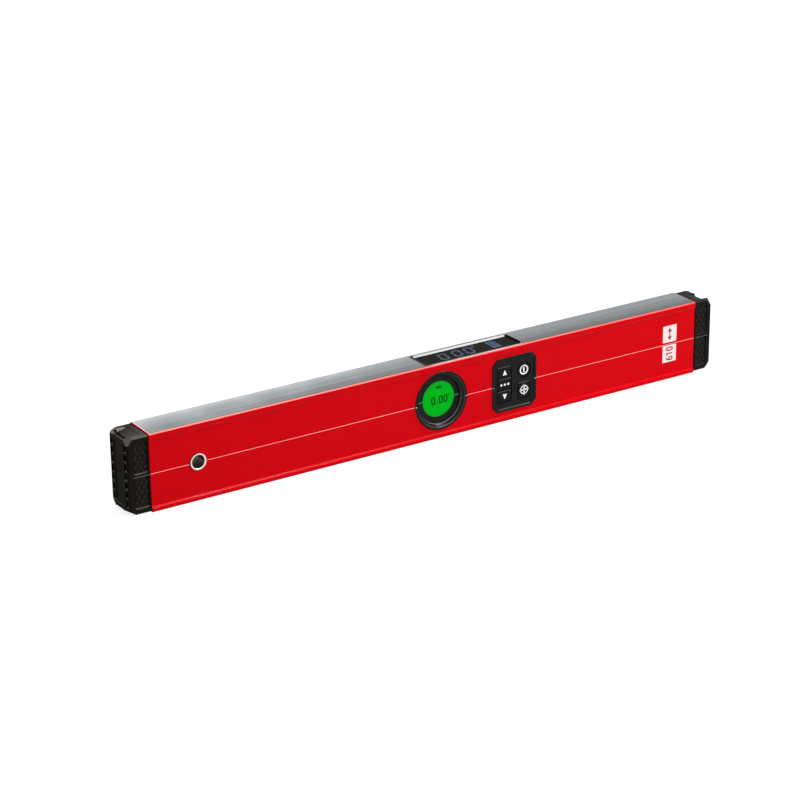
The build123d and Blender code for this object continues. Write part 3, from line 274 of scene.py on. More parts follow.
def draw_painted_light(group):
    """A mask of painted light from above. It is nothing on upright walls, from the upward part of the
    normal:
    one smooth step leads up to the share of slopes, another to that of level tops. Slopes have more at the
    back and less along the outermost edges, tops have some at the front, floors of pockets have all, and
    noise breaks it up."""
    upward = axes(add_node(group, "TexCoord", {})["Normal"])[2]
    sloping = ramp(upward, 0.3, 0.5, "SMOOTHSTEP")
    level = ramp(upward, 0.82, 0.96, "SMOOTHSTEP")
    place = object_place(group)
    x, y, z = axes(place)
    to_back = ramp(y, -TOPS_HALF, TOPS_HALF)
    in_pocket = (abs(x) > -cap_low.x - POCKET_DEPTH) * (z < cap_high.z - POCKET_MARGIN)
    tops = mix(in_pocket, mix(to_back, FRONT_TOPS, 0.0), 1.0)
    slopes = mix(abs(y) > OUTER_EDGE, mix(to_back, FRONT_SLOPES, 1.0), EDGE_SLOPES)
    share = mix(level, sloping * slopes, tops)
    return {"Mask": share * (noise(place, SPECK_SCALE, 4.0) + 0.5)}


def draw_cells(group):
    """1 inside the square cells of a display and 0 in the lines between them, along all three axes."""
    from_lines = [math_node("PINGPONG", axis, CELL_PITCH / 2) for axis in axes(object_place(group))]
    x, y, z = [way > CELL_LINE / 2 for way in from_lines]
    return {"Mask": x * y * z}


moulded_grain = make_group("moulded_grain", draw_grain, grain_mm=0.35)
cut_lines = make_group("cut_lines", draw_cut_lines, width_mm=0.4, length_mm=40.0)
handling_marks = make_group("handling_marks", draw_marks, patch_mm=25.0)
painted_light_mask = make_group("painted_light_mask", draw_painted_light)
display_cells = make_group("display_cells", draw_cells)
print("groups:", [group.name for group in bpy.data.node_groups])


# %% [markdown]
# ## Finishes for moulded pieces
# Most of the level is black: rubber bumpers, a satin bezel, a matt keypad. They differ in depth of black,
# in grain and in gloss, so one function makes them all from those few numbers.

# %% Moulded finishes
# Painted light: grey on upward faces of the black rubber, brighter on the left bumper than on the right.
PAINTED_LIGHT_GREY = (124, 121, 114)
DIM_PAINTED_LIGHT_GREY = (46, 45, 42)
RUBBER = (29, 26, 22)
SEALS = "bezel_seal keypad_seal top_window_seal battery_cover_seal"
KEYS = "up_key menu_key down_key power_key target_key"


def moulded(tree, colour, roughness, grain_mm, depth_mm, gloss=0.3, light_grey=None):
    """A moulded finish: grain in its normal, slow changes of shade, patches where the gloss changes, and
    a painted light that turns slopes and tops to another colour."""
    grain = use_group(tree, moulded_grain, grain_mm=grain_mm)
    marks = use_group(tree, handling_marks)["Mask"]
    shade = mix(grain["Shade"], scaled(colour, 0.75), scaled(colour, 1.25))
    # Painted light turns upward faces another colour.
    if light_grey:
        shade = mix(use_group(tree, painted_light_mask)["Mask"], shade, light_grey)
    return {
        "Base Color": shade,
        "Roughness": mix(marks, roughness - 0.05, roughness + 0.05),
        "Specular IOR Level": gloss,
        "Normal": bump(grain["Height"], depth_mm),
    }


# Nodes, colour, roughness, grain size and depth in mm, gloss, and the grey of painted light on slopes and
# tops
MOULDED = {
    # The bumpers are a lit and a shaded copy of one rubber: the left one gets the brighter painted light.
    "left_rubber": ("left_end_cap", RUBBER, 0.5, 0.45, 0.02, 0.01, PAINTED_LIGHT_GREY),
    "right_rubber": ("right_end_cap", RUBBER, 0.5, 0.45, 0.02, 0.02, DIM_PAINTED_LIGHT_GREY),
    "seal_rubber": (SEALS, (24, 24, 24), 0.7, 0.4, 0.02),
    "keypad_plastic": ("keypad_frame top_display_tray", (12, 11, 9), 0.2, 0.3, 0.003, 0.12),
    "key_rubber": (KEYS, (9, 8, 7), 0.22, 0.3, 0.003, 0.09),
    "plug_plastic": ("left_cap_plug right_cap_plug", (40, 40, 40), 0.5, 0.5, 0.01),
    "cover_plastic": ("battery_cover", (28, 28, 27), 0.5, 0.4, 0.02),
    "carrier_plastic": ("module_carrier", (70, 70, 72), 0.5, 0.5, 0.01),
    "mask_print": ("dial_mask", (38, 36, 38), 0.6, 0.3, 0.002, 0.05),
    "chip_plastic": ("controller_chip tact_switches", (38, 38, 40), 0.5, 0.2, 0.005),
    "socket_plastic": ("ribbon_socket", (215, 205, 180), 0.5, 0.4, 0.005),
    "contact_rubber": ("dial_contact_strips", (140, 95, 95), 0.6, 0.3, 0.01),
    "circuit_board": ("main_board", (28, 92, 50), 0.4, 1.2, 0.01),
    "ribbon_film": ("display_ribbon", (190, 120, 40), 0.3, 2.0, 0.003, 0.5),
    "light_guide": ("dial_light_guide top_light_guide", (232, 240, 234), 0.3, 0.8, 0.005, 0.5),
}
for name, (wearers, *given) in MOULDED.items():
    make_material(name, wearers, moulded, *given)
print("moulded finishes:", len(MOULDED))

# %% [markdown]
# ## The bezel's plastic
# The round bezel is polished black. Where its funnel meets the lens, where it meets the front and at its
# outer edge, three thin rings are painted lighter, painted highlights on its curves. A ring is chosen by the
# distance from the dial's axis, as a share of the bezel's radius.

# %% Bezel finish
BEZEL_BLACK = (7, 6, 6)
# Rings of painted highlight: where each starts and ends as a share of the radius, and its colour.
HIGHLIGHT_RINGS = (
    (0.815, 0.834, (106, 105, 101)),
    (0.9, 0.925, (64, 63, 60)),
    (0.985, 1.01, (30, 29, 28)),
)
bezel_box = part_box("display_bezel")
bezel_middle, bezel_half = middle_and_half(bezel_box)


def bezel(tree):
    """Polished black plastic with rings of painted highlight, each between two shares of the bezel's radius.
    """
    finish = moulded(tree, BEZEL_BLACK, roughness=0.16, grain_mm=0.5, depth_mm=0.001, gloss=0.13)
    share = from_axis(object_place(tree), bezel_middle) / bezel_half.x
    for start, end, ring_highlight in HIGHLIGHT_RINGS:
        on_ring = (share > start) * (share < end)
        finish["Base Color"] = mix(on_ring, finish["Base Color"], ring_highlight)
    return finish


make_material("bezel_plastic", "display_bezel beeper", bezel)
print("bezel radius", round(bezel_half.x / MM, 2), "mm")

# %% [markdown]
# ## The grip pads' rubber
# The grooves between the scales of a grip pad are painted darker, a painted shade, and the crests are
# lighter. How far a point stands out to the side tells crest from groove, and the pads' own box says where
# the crests lie.

# %% Grip finish
# The groove colour is a painted shade; the crest colour is the rubber's own.
GRIP_GROOVE_SHADE = (9, 8, 7)
GRIP_CREST = (34, 31, 27)
SCALE_RISE = 0.6 * MM
crest_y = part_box("left_cap_grips")[1].y


def grip(tree):
    """Rubber that goes from a painted shade in the grooves to lighter on the crests, with a fine grain."""
    y = axes(object_place(tree))[1]
    grain = use_group(tree, moulded_grain, grain_mm=0.3)
    return {
        "Base Color": mix(ramp(abs(y), crest_y - SCALE_RISE, crest_y), GRIP_GROOVE_SHADE, GRIP_CREST),
        "Roughness": mix(use_group(tree, handling_marks)["Mask"], 0.3, 0.4),
        "Specular IOR Level": 0.06,
        "Normal": bump(grain["Height"], 0.006),
    }


make_material("grip_rubber", "left_cap_grips right_cap_grips", grip)
print("pad crests lie", round(crest_y / MM, 2), "mm from the middle")

# %% [markdown]
# ## Finishes for cut metal
# The screws, the contacts and the sensor's can are metal. Fine lines in the gloss show that the metal was
# turned or rolled. The cells have a printed jacket over their steel can.

# %% Metal finishes
def cut_metal(tree, colour, roughness, line_mm, depth_mm):
    """Bare metal whose shade and gloss follow fine cut lines."""
    lines = use_group(tree, cut_lines, width_mm=line_mm)
    return {
        "Base Color": mix(lines["Shade"], scaled(colour, 0.8), scaled(colour, 1.1)),
        "Roughness": mix(lines["Height"], roughness - 0.06, roughness + 0.06),
        "Metallic": 1.0,
        "Normal": bump(lines["Height"], depth_mm),
    }


# Nodes, colour, roughness, width and depth of the lines in mm
METALS = {
    "screw_steel": ("battery_cover_screws", (190, 190, 186), 0.3, 0.2, 0.004),
    "contact_steel": ("battery_contacts", (205, 203, 196), 0.25, 0.3, 0.003),
    "sensor_can": ("tilt_sensor", (200, 200, 198), 0.35, 0.3, 0.003),
    "cell_jacket": ("battery_cells", (120, 122, 126), 0.35, 0.5, 0.002),
}
for name, (wearers, *given) in METALS.items():
    make_material(name, wearers, cut_metal, *given)
print("metal finishes:", len(METALS))

# %% [markdown]
# ## The hang sleeve
# A turned tube goes through the beam near its left end. Its flange is bright from the lathe, with a pink
# tint that is a painted reflection, and a painted shadow in the seam round it. Its bore is dull and painted
# dark, a painted shade, with lighter streaks along it. Masks on Object coordinates tell them apart: what is
# further in than the flange is bore, and the flange's outermost ring is seam.

# %% Sleeve finish
# The flange's pink tint is a painted reflection, the bore's dark colour a painted shade inside the hole.
SLEEVE_BRIGHT = (226, 206, 203)
BORE_DARK = (84, 78, 68)
BORE_STREAK = (176, 168, 152)
SEAM_SHADOW = (74, 10, 12)
BORE_START = 0.7 * MM
SEAM_WIDTH = 0.35 * MM
STREAK_WIDTH = 1.1 * MM
STREAK_LENGTH = 50.0 * MM
sleeve_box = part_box("hang_sleeve")
sleeve_middle, sleeve_half = middle_and_half(sleeve_box)
bore_end = sleeve_box[1].y - BORE_START


def sleeve(tree):
    """Bright turned metal on both rims, dull metal in painted shade with lighter streaks between them, and a
    painted shadow round the flange.
    """
    place = object_place(tree)
    bore = abs(axes(place)[1]) < bore_end
    seam = from_axis(place, sleeve_middle) > sleeve_half.x - SEAM_WIDTH
    drawn = stretched(place, (1 / STREAK_WIDTH, 1 / STREAK_LENGTH, 1 / STREAK_WIDTH))
    lines = use_group(tree, cut_lines, width_mm=0.25)
    turned_rim = mix(lines["Shade"], scaled(SLEEVE_BRIGHT, 0.85), SLEEVE_BRIGHT)
    # The seam round the flange gets a painted shadow.
    bright = mix(seam, turned_rim, SEAM_SHADOW)
    # The bore is painted dark as a painted shade, with lighter streaks along it.
    dull = mix(ramp(noise(drawn, 1.0), 0.45, 0.7), BORE_DARK, BORE_STREAK)
    return {
        "Base Color": mix(bore, bright, dull),
        "Roughness": mix(bore, 0.22, 0.32),
        "Metallic": 1.0,
        "Normal": bump(lines["Height"], 0.004),
    }


make_material("sleeve_metal", "hang_sleeve hang_sleeve_collar", sleeve)
print("sleeve bore starts", round(bore_end / MM, 2), "mm from the middle")

# %% [markdown]
# ## The beam: paint over an extrusion, milled faces, a filled scribe line
# One extrusion carries several finishes. The sides and the sawn ends are painted. The two measuring faces
# are milled after painting, so they are bare, with a painted reflection that makes them brighter at the
# back.
# The edges beside the upper face and across its left end carry a painted highlight in light pink. The walls
# of the openings are cut bare too and painted white as a painted highlight, except at the window's ends,
# which are painted dark as a painted shade. A dark strip lies beside the window, and a scribed line along
# each side is filled with white. Masks on Object coordinates choose the finish, and one shader does the
# rest.

# %% Where the beam's finishes lie
FACE_SKIN = 0.03 * MM
EDGE_BAND = 1.0 * MM
SKIN = 1.25 * MM
SCRIBE_DROP = 0.75 * MM
SCRIBE_HALF = 0.24 * MM
END_SKIN = 0.05 * MM
END_BAND = 1.2 * MM
WINDOW_END = 2.6 * MM
# How wide the dark strip beside the window is, and how far it reaches past the window's left end.
DARK_STRIP_WIDTH = 0.7 * MM
DARK_STRIP_REACH = 2.0 * MM
beam_low, beam_high = beam_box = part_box("beam_profile")
beam_middle, beam_half = middle_and_half(beam_box)
window_low, window_high = window_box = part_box("top_window")
window_middle, window_half = middle_and_half(window_box)
scribe_height = beam_middle.z - SCRIBE_DROP


def beam_masks(x, y, z):
    """Masks from place: measuring face, edge and end of painted highlight, cut wall, window end of painted
    shade, dark strip, scribe.
    """
    milled = abs(z - beam_middle.z) > beam_half.z - FACE_SKIN
    face = milled * (x > beam_low.x + END_BAND)
    inside = abs(y) < beam_half.y - SKIN
    outside = 1.0 - inside
    edge = (z > beam_high.z - EDGE_BAND) * outside
    wall = inside * (abs(x) < beam_half.x - END_SKIN)
    window_end = wall * (abs(x - window_middle.x) > window_half.x - WINDOW_END)
    strip_x = (x > window_low.x - DARK_STRIP_REACH) * (x < window_high.x - WINDOW_END)
    strip_y = (y > window_low.y - DARK_STRIP_WIDTH) * (y < window_high.y)
    scribe = (abs(z - scribe_height) < SCRIBE_HALF) * outside
    return face, edge, milled - face, wall, window_end, strip_x * strip_y, scribe


print("beam is milled beyond", round((beam_half.z - FACE_SKIN) / MM, 2), "mm from its middle")

# %% Beam material
PAINT = (210, 6, 18)
# Painted reflection: the milled faces go from the front colour to the brighter back colour.
MILLED_BACK = (146, 151, 153)
MILLED_FRONT = (84, 90, 92)
MILLED_DRIFT = 0.3
# Painted highlights: light pink on the upper edges, stronger at the left, near white on the left end band.
EDGE_HIGHLIGHT_LEFT = (255, 150, 138)
EDGE_HIGHLIGHT_RIGHT = (244, 92, 92)
# White on the cut walls is a painted highlight.
WALL_HIGHLIGHT = (255, 255, 255)
END_HIGHLIGHT = (255, 204, 202)
# A painted shade on the walls at the window's ends, also the colour of the dark strip beside the window.
WINDOW_DARK = (34, 32, 31)
SCRIBE_FILL = (255, 188, 182)


def beam(tree):
    """Red paint, milled metal with a painted reflection, painted highlights on edges and cut walls, painted
    shade at the window's ends, a dark strip and white filling, chosen by masks.
    """
    x, y, z = axes(object_place(tree))
    face, edge, end_band, wall, window_end, dark_strip, scribe = beam_masks(x, y, z)
    lines = use_group(tree, cut_lines, width_mm=0.7, length_mm=60.0)
    marks = use_group(tree, handling_marks, patch_mm=30.0)["Mask"]
    grain = use_group(tree, moulded_grain, grain_mm=0.8)
    paint = mix(grain["Shade"], scaled(PAINT, 0.94), scaled(PAINT, 1.06))
    coated = mix(scribe, paint, SCRIBE_FILL)
    # Cut walls get a white painted highlight, and the walls at the window's ends a dark painted shade.
    unmilled = mix(wall, coated, mix(window_end, WALL_HIGHLIGHT, WINDOW_DARK))
    # Edges beside the upper face get a light pink painted highlight, stronger at the left.
    pale = mix(ramp(x, -beam_half.x, beam_half.x), EDGE_HIGHLIGHT_LEFT, EDGE_HIGHLIGHT_RIGHT)
    # The left end of the milled faces gets a near-white painted highlight.
    inward = ramp(x, beam_low.x + 0.3 * END_BAND, beam_low.x + 0.7 * END_BAND)
    end_highlight = mix(inward, PAINT, END_HIGHLIGHT)
    edged = mix(end_band, mix(edge, unmilled, pale), end_highlight)
    # A painted reflection makes the milled faces brighter towards the back.
    backward = ramp(y, -beam_half.y, beam_half.y)
    milled = mix(backward + (lines["Shade"] - 0.5) * MILLED_DRIFT, MILLED_FRONT, MILLED_BACK)
    framed = mix(dark_strip, milled, WINDOW_DARK)
    unmilled_rough = mix(wall, mix(marks, 0.1, 0.16), 0.6)
    return {
        "Base Color": mix(face, edged, framed),
        "Roughness": mix(face, unmilled_rough, mix(marks, 0.34, 0.42)),
        "Metallic": face * (1.0 - dark_strip),
        "Specular IOR Level": 0.02,
        "Normal": bump(mix(face, grain["Height"], lines["Height"]), 0.006),
    }


make_material("painted_beam", "beam_profile", beam)
print("materials so far:", len(materials))

# %% [markdown]
# ## Displays
# The round display is a liquid crystal cell with a green light behind it, so its finish glows a little less
# towards the rim, and a fine grid of cells shows from close by. The window in the top face is smoked, over a
# dark cell. Lens and window are thin clear plastic with a coating that takes the mirror away. Alpha suits
# that better than refraction: light goes straight through to what lies behind, which stays sharp.

# %% Display finishes
LCD_GREEN = (0, 184, 28)
lens_low, lens_high = lens_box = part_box("display_lens")
dial_centre, lens_half = middle_and_half(lens_box)


def dial_glow(tree):
    """Green light that falls off towards the rim, behind a fine cell grid. It is bright to the eye alone."""
    fall = distance(object_place(tree), tuple(dial_centre)) / lens_half.x
    glow = mix(fall, scaled(LCD_GREEN, 1.02), scaled(LCD_GREEN, 0.93))
    eye = add_node(tree, "LightPath", {})["Is Camera Ray"]
    return {
        "Emission Color": mix(use_group(tree, display_cells)["Mask"], scaled(LCD_GREEN, 0.85), glow),
        "Emission Strength": mix(eye, 0.2, 1.0),
        "Base Color": (2, 20, 5),
        "Roughness": 0.4,
        "Specular IOR Level": 0.02,
    }


def dark_cell(tree):
    """The unlit cell of the top display: near black, and darker still in the lines between its cells."""
    cells = use_group(tree, display_cells)["Mask"]
    return {
        "Base Color": mix(cells, (10, 10, 11), (17, 16, 16)),
        "Roughness": 0.5,
        "Specular IOR Level": 0.05,
    }


def clear(tree, tint, least_cover, most_cover):
    """Coated plastic that covers a share of what is behind it with its tint, and lets the rest through. The
    share is a little smaller where it has been wiped."""
    marks = use_group(tree, handling_marks, patch_mm=12.0)["Mask"]
    return {
        "Alpha": mix(marks, most_cover, least_cover),
        "Base Color": tint,
        "Roughness": 0.1,
        "Specular IOR Level": 0.0,
    }


make_material("dial_glow", "dial_lcd", dial_glow)
make_material("dark_cell", "top_lcd", dark_cell)
make_material("lens_clear", "display_lens", clear, (0, 0, 0), 0.01, 0.04)
make_material("window_smoke", "top_window", clear, (40, 38, 37), 0.86, 0.88)
print("dressed", len(dressed), "of", len(nodes), "nodes")

# %% [markdown]
# ## Printed and lit marks
# White legends on the keys with a faint painted glow, dark figures in the green display, and lit bars under
# the smoked window. Ink has tiny uneven patches of cover, so even plain white isn't one colour. A lit
# segment shows the cell grid.

# %% Mark finishes
def ink(tree, colour, glow=0.0):
    """Printed ink: its shade follows the grain, and its gloss the wiped patches. Some ink has a faint
    painted glow.
    """
    grain = use_group(tree, moulded_grain, grain_mm=0.25)
    marks = use_group(tree, handling_marks, patch_mm=6.0)["Mask"]
    shade = mix(grain["Height"], scaled(colour, 0.92), colour)
    return {
        "Base Color": shade,
        "Emission Color": shade,
        "Emission Strength": glow,
        "Roughness": mix(marks, 0.45, 0.55),
        "Specular IOR Level": 0.1,
    }


def lit_bar(tree, colour, strength):
    """A display segment that glows in that colour, a little darker on the grid lines between its cells."""
    return {
        "Emission Color": mix(use_group(tree, display_cells)["Mask"], scaled(colour, 0.7), colour),
        "Emission Strength": strength,
        "Base Color": scaled(colour, 0.1),
        "Roughness": 0.5,
        "Specular IOR Level": 0.02,
    }


# Function, colour and glow
MARKS = {
    # The glow of the key legends is a painted glow.
    "legend_glow_white": (ink, (255, 255, 255), 0.05),
    "bevel_highlight_white": (ink, (255, 255, 255)),
    "plate_white": (ink, (240, 232, 230)),
    "plate_red": (ink, (176, 22, 34)),
    "index_white": (ink, (240, 226, 222)),
    "datum_highlight_grey": (ink, (98, 95, 90)),
    "dial_ink": (lit_bar, (0, 20, 4), 0.9),
    "digit_blue": (lit_bar, (102, 118, 148), 5.4),
    "icon_blue": (lit_bar, (94, 122, 160), 6.0),
}
for name, given in MARKS.items():
    make_material(name, "", *given)
print("mark finishes:", list(MARKS))

# %% [markdown]
# ## Shells from loops
# Every piece that is added below is a closed shell: a loop of points carried along a path, so that all its
# points form one grid with a row for each loop. Faces between neighbouring rows follow from the grid, and
# the two ends are filled. Drawings are in millimetres, and become metres when the mesh is made.

# %% Shell and piece tools
def swept_shell(loops, closed=False):
    """Points and quads of a row of loops. Each quad joins two neighbours of a loop with the same two of the
    next loop. The last loop joins the first if the path is closed, and otherwise both ends are filled with
    quads between opposite points of their loop. If the shell's volume comes out negative, its quads turn."""
    count, around = loops.shape[:2]
    index = np.arange(count * around).reshape(count, around)
    here = index if closed else index[:-1]
    after = np.roll(index, -1, axis=0)[: len(here)]
    corners = [here, np.roll(here, -1, axis=1), np.roll(after, -1, axis=1), after]
    quads = np.stack(corners, axis=-1).reshape(-1, 4)
    if not closed:
        near = index[[0, -1], : around // 2]
        far = index[[0, -1], ::-1][:, : around // 2]
        ends = np.stack([near[:, :-1], near[:, 1:], far[:, 1:], far[:, :-1]], axis=-1)
        quads = np.concatenate([quads, ends[0][:, ::-1], ends[1]])
    points = loops.reshape(-1, 3)
    first, second, third, fourth = points[quads].transpose(1, 0, 2)
    volume = np.sum(first * np.cross(second, third)) + np.sum(first * np.cross(third, fourth))
    return points, quads if volume > 0 else quads[:, ::-1]


def add_object(name, data):
    """A new object in the scene, with a mesh, a lamp or a camera as its data."""
    holder = bpy.data.objects.new(name, data)
    bpy.context.scene.collection.objects.link(holder)
    return holder


def add_mesh(name, points, faces, finish):
    """An object with a mesh of those points, in metres."""
    mesh = bpy.data.meshes.new(name)
    mesh.from_pydata(points.tolist(), [], faces)
    mesh.materials.append(finish)
    return add_object(name, mesh)


def make_piece(name, shells, finish, body):
    """One object from closed shells, given in millimetres, that rides on a body."""
    starts = np.cumsum([0] + [len(points) for points, quads in shells[:-1]])
    points = np.concatenate([points for points, quads in shells]) * MM
    quads = np.concatenate([shell[1] + start for shell, start in zip(shells, starts)])
    piece = add_mesh(name, points, quads.tolist(), materials[finish])
    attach(piece, body)
    print(name, len(quads), "faces on", body)
    return piece


# %% [markdown]
# ## Flat marks
# A legend is a thin solid strip between two edge curves. Almost every mark here can be drawn that way: a
# ring is a strip along a circle, a triangle narrows to a point, and a disc lies between its upper and its
# lower half. The strip stands a little proud of the surface and reaches a little into it.

# %% Strip tools
def surface(depth, axis=1, outward=-1):
    """Maps drawing points (x, z) to the front at that depth, or at a depth that follows the point. With axis
    2 and outward 1 it maps drawing points (x, y) to the top, at that height."""
    def place(points, lift):
        level = depth(points) if callable(depth) else np.full(points.shape[:-1], depth)
        return np.insert(points, axis, level + outward * lift, axis=-1)
    return place


def strip(edges, place, closed=False, proud=0.06, sunk=0.04):
    """A thin solid between two edge curves: a four-cornered loop carried along both."""
    first, second = edges
    loops = [place(first, proud), place(second, proud), place(second, -sunk), place(first, -sunk)]
    return swept_shell(np.stack(loops, axis=1), closed)


def stroke(path, width, closed=False):
    """The two edges of a pen stroke: the path moved half a width along its normal, both ways."""
    path = np.asarray(path, float)
    ahead = np.roll(path, -1, axis=0) - np.roll(path, 1, axis=0) if closed else np.gradient(path, axis=0)
    ahead /= np.linalg.norm(ahead, axis=1, keepdims=True)
    normal = np.stack([-ahead[:, 1], ahead[:, 0]], axis=1)
    return path + normal * width / 2, path - normal * width / 2


def ring(path, width, place, **lift):
    """A pen stroke along a closed path, as a thin solid."""
    return strip(stroke(path, width, closed=True), place, closed=True, **lift)


def oval(centre, width, height, power=2.0, count=48):
    """A closed path: a circle's cosine and sine, raised so that a power above 2 squares the corners."""
    angle = np.linspace(0, 2 * np.pi, count, endpoint=False)
    turn = np.stack([np.cos(angle), np.sin(angle)], axis=1)
    return centre + np.sign(turn) * np.abs(turn) ** (2 / power) * (width, height) / 2


def disc(centre, diameter):
    """Edges of a disc: the upper half circle without its very ends, and its mirror image below."""
    angle = np.radians(np.linspace(176, 4, 24))
    upper = np.stack([np.cos(angle), np.sin(angle)], axis=1) * diameter / 2
    return centre + upper, centre + upper * (1, -1)


def across_line(start, end, along, half):
    """Edges of a shape on a straight line: at each distance along it, half its width there to each side."""
    start, end = np.asarray(start, float), np.asarray(end, float)
    ahead = (end - start) / np.linalg.norm(end - start)
    normal = np.array([-ahead[1], ahead[0]])
    middle = start + np.asarray(along)[:, None] * ahead
    side = np.asarray(half)[:, None] * normal
    return middle + side, middle - side


def wedge(base, tip, width, tip_width):
    """Edges of a strip that narrows evenly from its base to its tip."""
    length = np.linalg.norm(np.subtract(tip, base))
    return across_line(base, tip, (0, length), (width / 2, tip_width / 2))


def plate(low, high, corner):
    """Edges of a plate with round corners: quarter circles at both ends of its upper edge, and their mirror
    image below."""
    bend = np.radians(np.linspace(0, 90, 7))
    start = corner * (1 - np.cos(bend))
    drop = corner * (1 - np.sin(bend))
    across = np.concatenate([low[0] + start, high[0] - start[::-1]])
    inset = np.concatenate([drop, drop[::-1]])
    return np.stack([across, high[1] - inset], axis=1), np.stack([across, low[1] + inset], axis=1)


def blocks(start, pitch, columns, rows, size, corner, place, **lift):
    """A field of plates, the first of them at its start, the others a pitch (x, z) or (x, y) further on."""
    steps = [(column, row) for column in range(columns) for row in range(rows)]
    lows = [start + np.multiply(pitch, step) for step in steps]
    return [strip(plate(low, low + size, corner), place, **lift) for low in lows]


# %% [markdown]
# ## The lens of the round display
# The lens is a disc of clear plastic in front of the printed mask. Two see-through faces that lie exactly on
# each other confuse a ray tracer, so this disc takes the place of the plain one and ends a hair before the
# mask. It is a row of circles: a narrow bevel in front, the rim, and a narrow bevel behind.

# %% Lens
LENS_BEVEL = 0.25
LENS_AIR = 0.05
CIRCLE_STEPS = 96
dial_middle = np.array([dial_centre.x, dial_centre.z]) / MM
lens_front, lens_back = lens_low.y / MM, lens_high.y / MM - LENS_AIR
lens_radius = lens_half.x / MM - LENS_AIR
lens_circles = (
    (lens_front, lens_radius - LENS_BEVEL),
    (lens_front + LENS_BEVEL, lens_radius),
    (lens_back - LENS_BEVEL, lens_radius),
    (lens_back, lens_radius - LENS_BEVEL),
)
lens_loops = []
for depth, radius in lens_circles:
    circle = oval(dial_middle, 2 * radius, 2 * radius, count=CIRCLE_STEPS)
    lens_loops.append(surface(depth)(circle, lift=0.0))
lens = swept_shell(np.stack(lens_loops))
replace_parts(make_piece("clear_lens", [lens], "lens_clear", "level"), "display_lens")

# %% [markdown]
# ## Key legends
# The five keys carry white printed legends: two triangles, three dots, a power sign and a target. Each rides
# on its key, so that it goes in when the key is pressed. The power key is dished, so its sign follows a
# sphere: the further from the middle, the nearer to the front.

# %% Key legends
def key_face(node):
    """Middle of a key in the drawing (x, z) and the depth of its face, in millimetres."""
    low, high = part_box(node)
    return np.array([(low.x + high.x) / 2, (low.z + high.z) / 2]) / MM, low.y / MM


ARROW_REACH = np.array([0, 2.3])
ARROW_BASE, ARROW_TIP = 4.5, 0.3
for node, way in (("up_key", 1), ("down_key", -1)):
    middle, face = key_face(node)
    arrow = wedge(middle - way * ARROW_REACH, middle + way * ARROW_REACH, ARROW_BASE, ARROW_TIP)
    make_piece(f"{node}_legend", [strip(arrow, surface(face))], "legend_glow_white", node)

middle, face = key_face("menu_key")
DOT_SIZE, DOT_PITCH = 2.2, 3.7
dots = [strip(disc(middle + (step * DOT_PITCH, 0), DOT_SIZE), surface(face)) for step in (-1, 0, 1)]
make_piece("menu_key_legend", dots, "legend_glow_white", "menu_key")

middle, face = key_face("target_key")
TARGET_SIZE, TARGET_PEN = 7.6, 0.9
TICK_REACH, TICK_BASE, TICK_TIP = 5.2, 1.6, 0.5
target = [ring(oval(middle, TARGET_SIZE, TARGET_SIZE), TARGET_PEN, surface(face))]
for way in ((1, 0), (0, 1), (-1, 0), (0, -1)):
    tick = wedge(middle, middle + TICK_REACH * np.array(way), TICK_BASE, TICK_TIP)
    target.append(strip(tick, surface(face)))
make_piece("target_key_legend", target, "legend_glow_white", "target_key")

# %% Power sign in the dish
power_middle, power_face = key_face("power_key")
DISH_REACH = 6.1
DISH_DEPTH = 0.8
DISH_RADIUS = (DISH_REACH**2 + DISH_DEPTH**2) / (2 * DISH_DEPTH)
POWER_SIZE, POWER_PEN = 7.9, 1.2
BAR_HALF, BAR_PEN, BAR_STEPS = 2.2, 1.5, 7


def dish_depth(points):
    """Depth of the dish at a drawing point: a sphere whose lowest point is the middle of the key."""
    from_middle = np.linalg.norm(points - power_middle, axis=-1)
    return power_face + DISH_DEPTH - DISH_RADIUS + np.sqrt(DISH_RADIUS**2 - from_middle**2)


in_dish = surface(dish_depth)
power_ring = ring(oval(power_middle, POWER_SIZE, POWER_SIZE), POWER_PEN, in_dish)
bar_path = np.stack([np.zeros(BAR_STEPS), np.linspace(-BAR_HALF, BAR_HALF, BAR_STEPS)], axis=1)
bar = strip(stroke(power_middle + bar_path, BAR_PEN), in_dish)
make_piece("power_key_legend", [power_ring, bar], "legend_glow_white", "power_key")

# %% [markdown]
# ## Figures in the round display
# The cell shows an angle in thin upright figures with a small sign above. They lie on the front of the
# cell, behind the opening of the mask. A nought is one pen stroke along a squared oval.

# %% Dial figures
on_cell = surface(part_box("dial_lcd")[0].y / MM)
DIGIT_SIZE, DIGIT_PEN, DIGIT_POWER = (3.1, 6.3), 1.1, 3.0
DIGIT_PLACES = ((-5.2, -1.1), (2.7, -1.1), (7.65, -1.0))
POINT_PLACE, POINT_SIZE = (-1.25, -4.1), 1.2
DEGREE_PLACE, DEGREE_SIZE, DEGREE_PEN = (11.0, 1.9), (1.0, 1.0), 0.5
figures = [
    ring(oval(dial_middle + place, *DIGIT_SIZE, DIGIT_POWER), DIGIT_PEN, on_cell) for place in DIGIT_PLACES
]
figures.append(strip(disc(dial_middle + POINT_PLACE, POINT_SIZE), on_cell))
figures.append(ring(oval(dial_middle + DEGREE_PLACE, *DEGREE_SIZE, count=20), DEGREE_PEN, on_cell))
make_piece("dial_figures", figures, "dial_ink", "level")

BLOCK_START, BLOCK_PITCH = (-2.1, 9.8), (1.35, 0)
BLOCK_SIZE, BLOCK_CORNER = (1.0, 2.2), 0.15
battery_sign = blocks(dial_middle + BLOCK_START, BLOCK_PITCH, 4, 1, BLOCK_SIZE, BLOCK_CORNER, on_cell)
make_piece("dial_battery_sign", battery_sign, "dial_ink", "level")

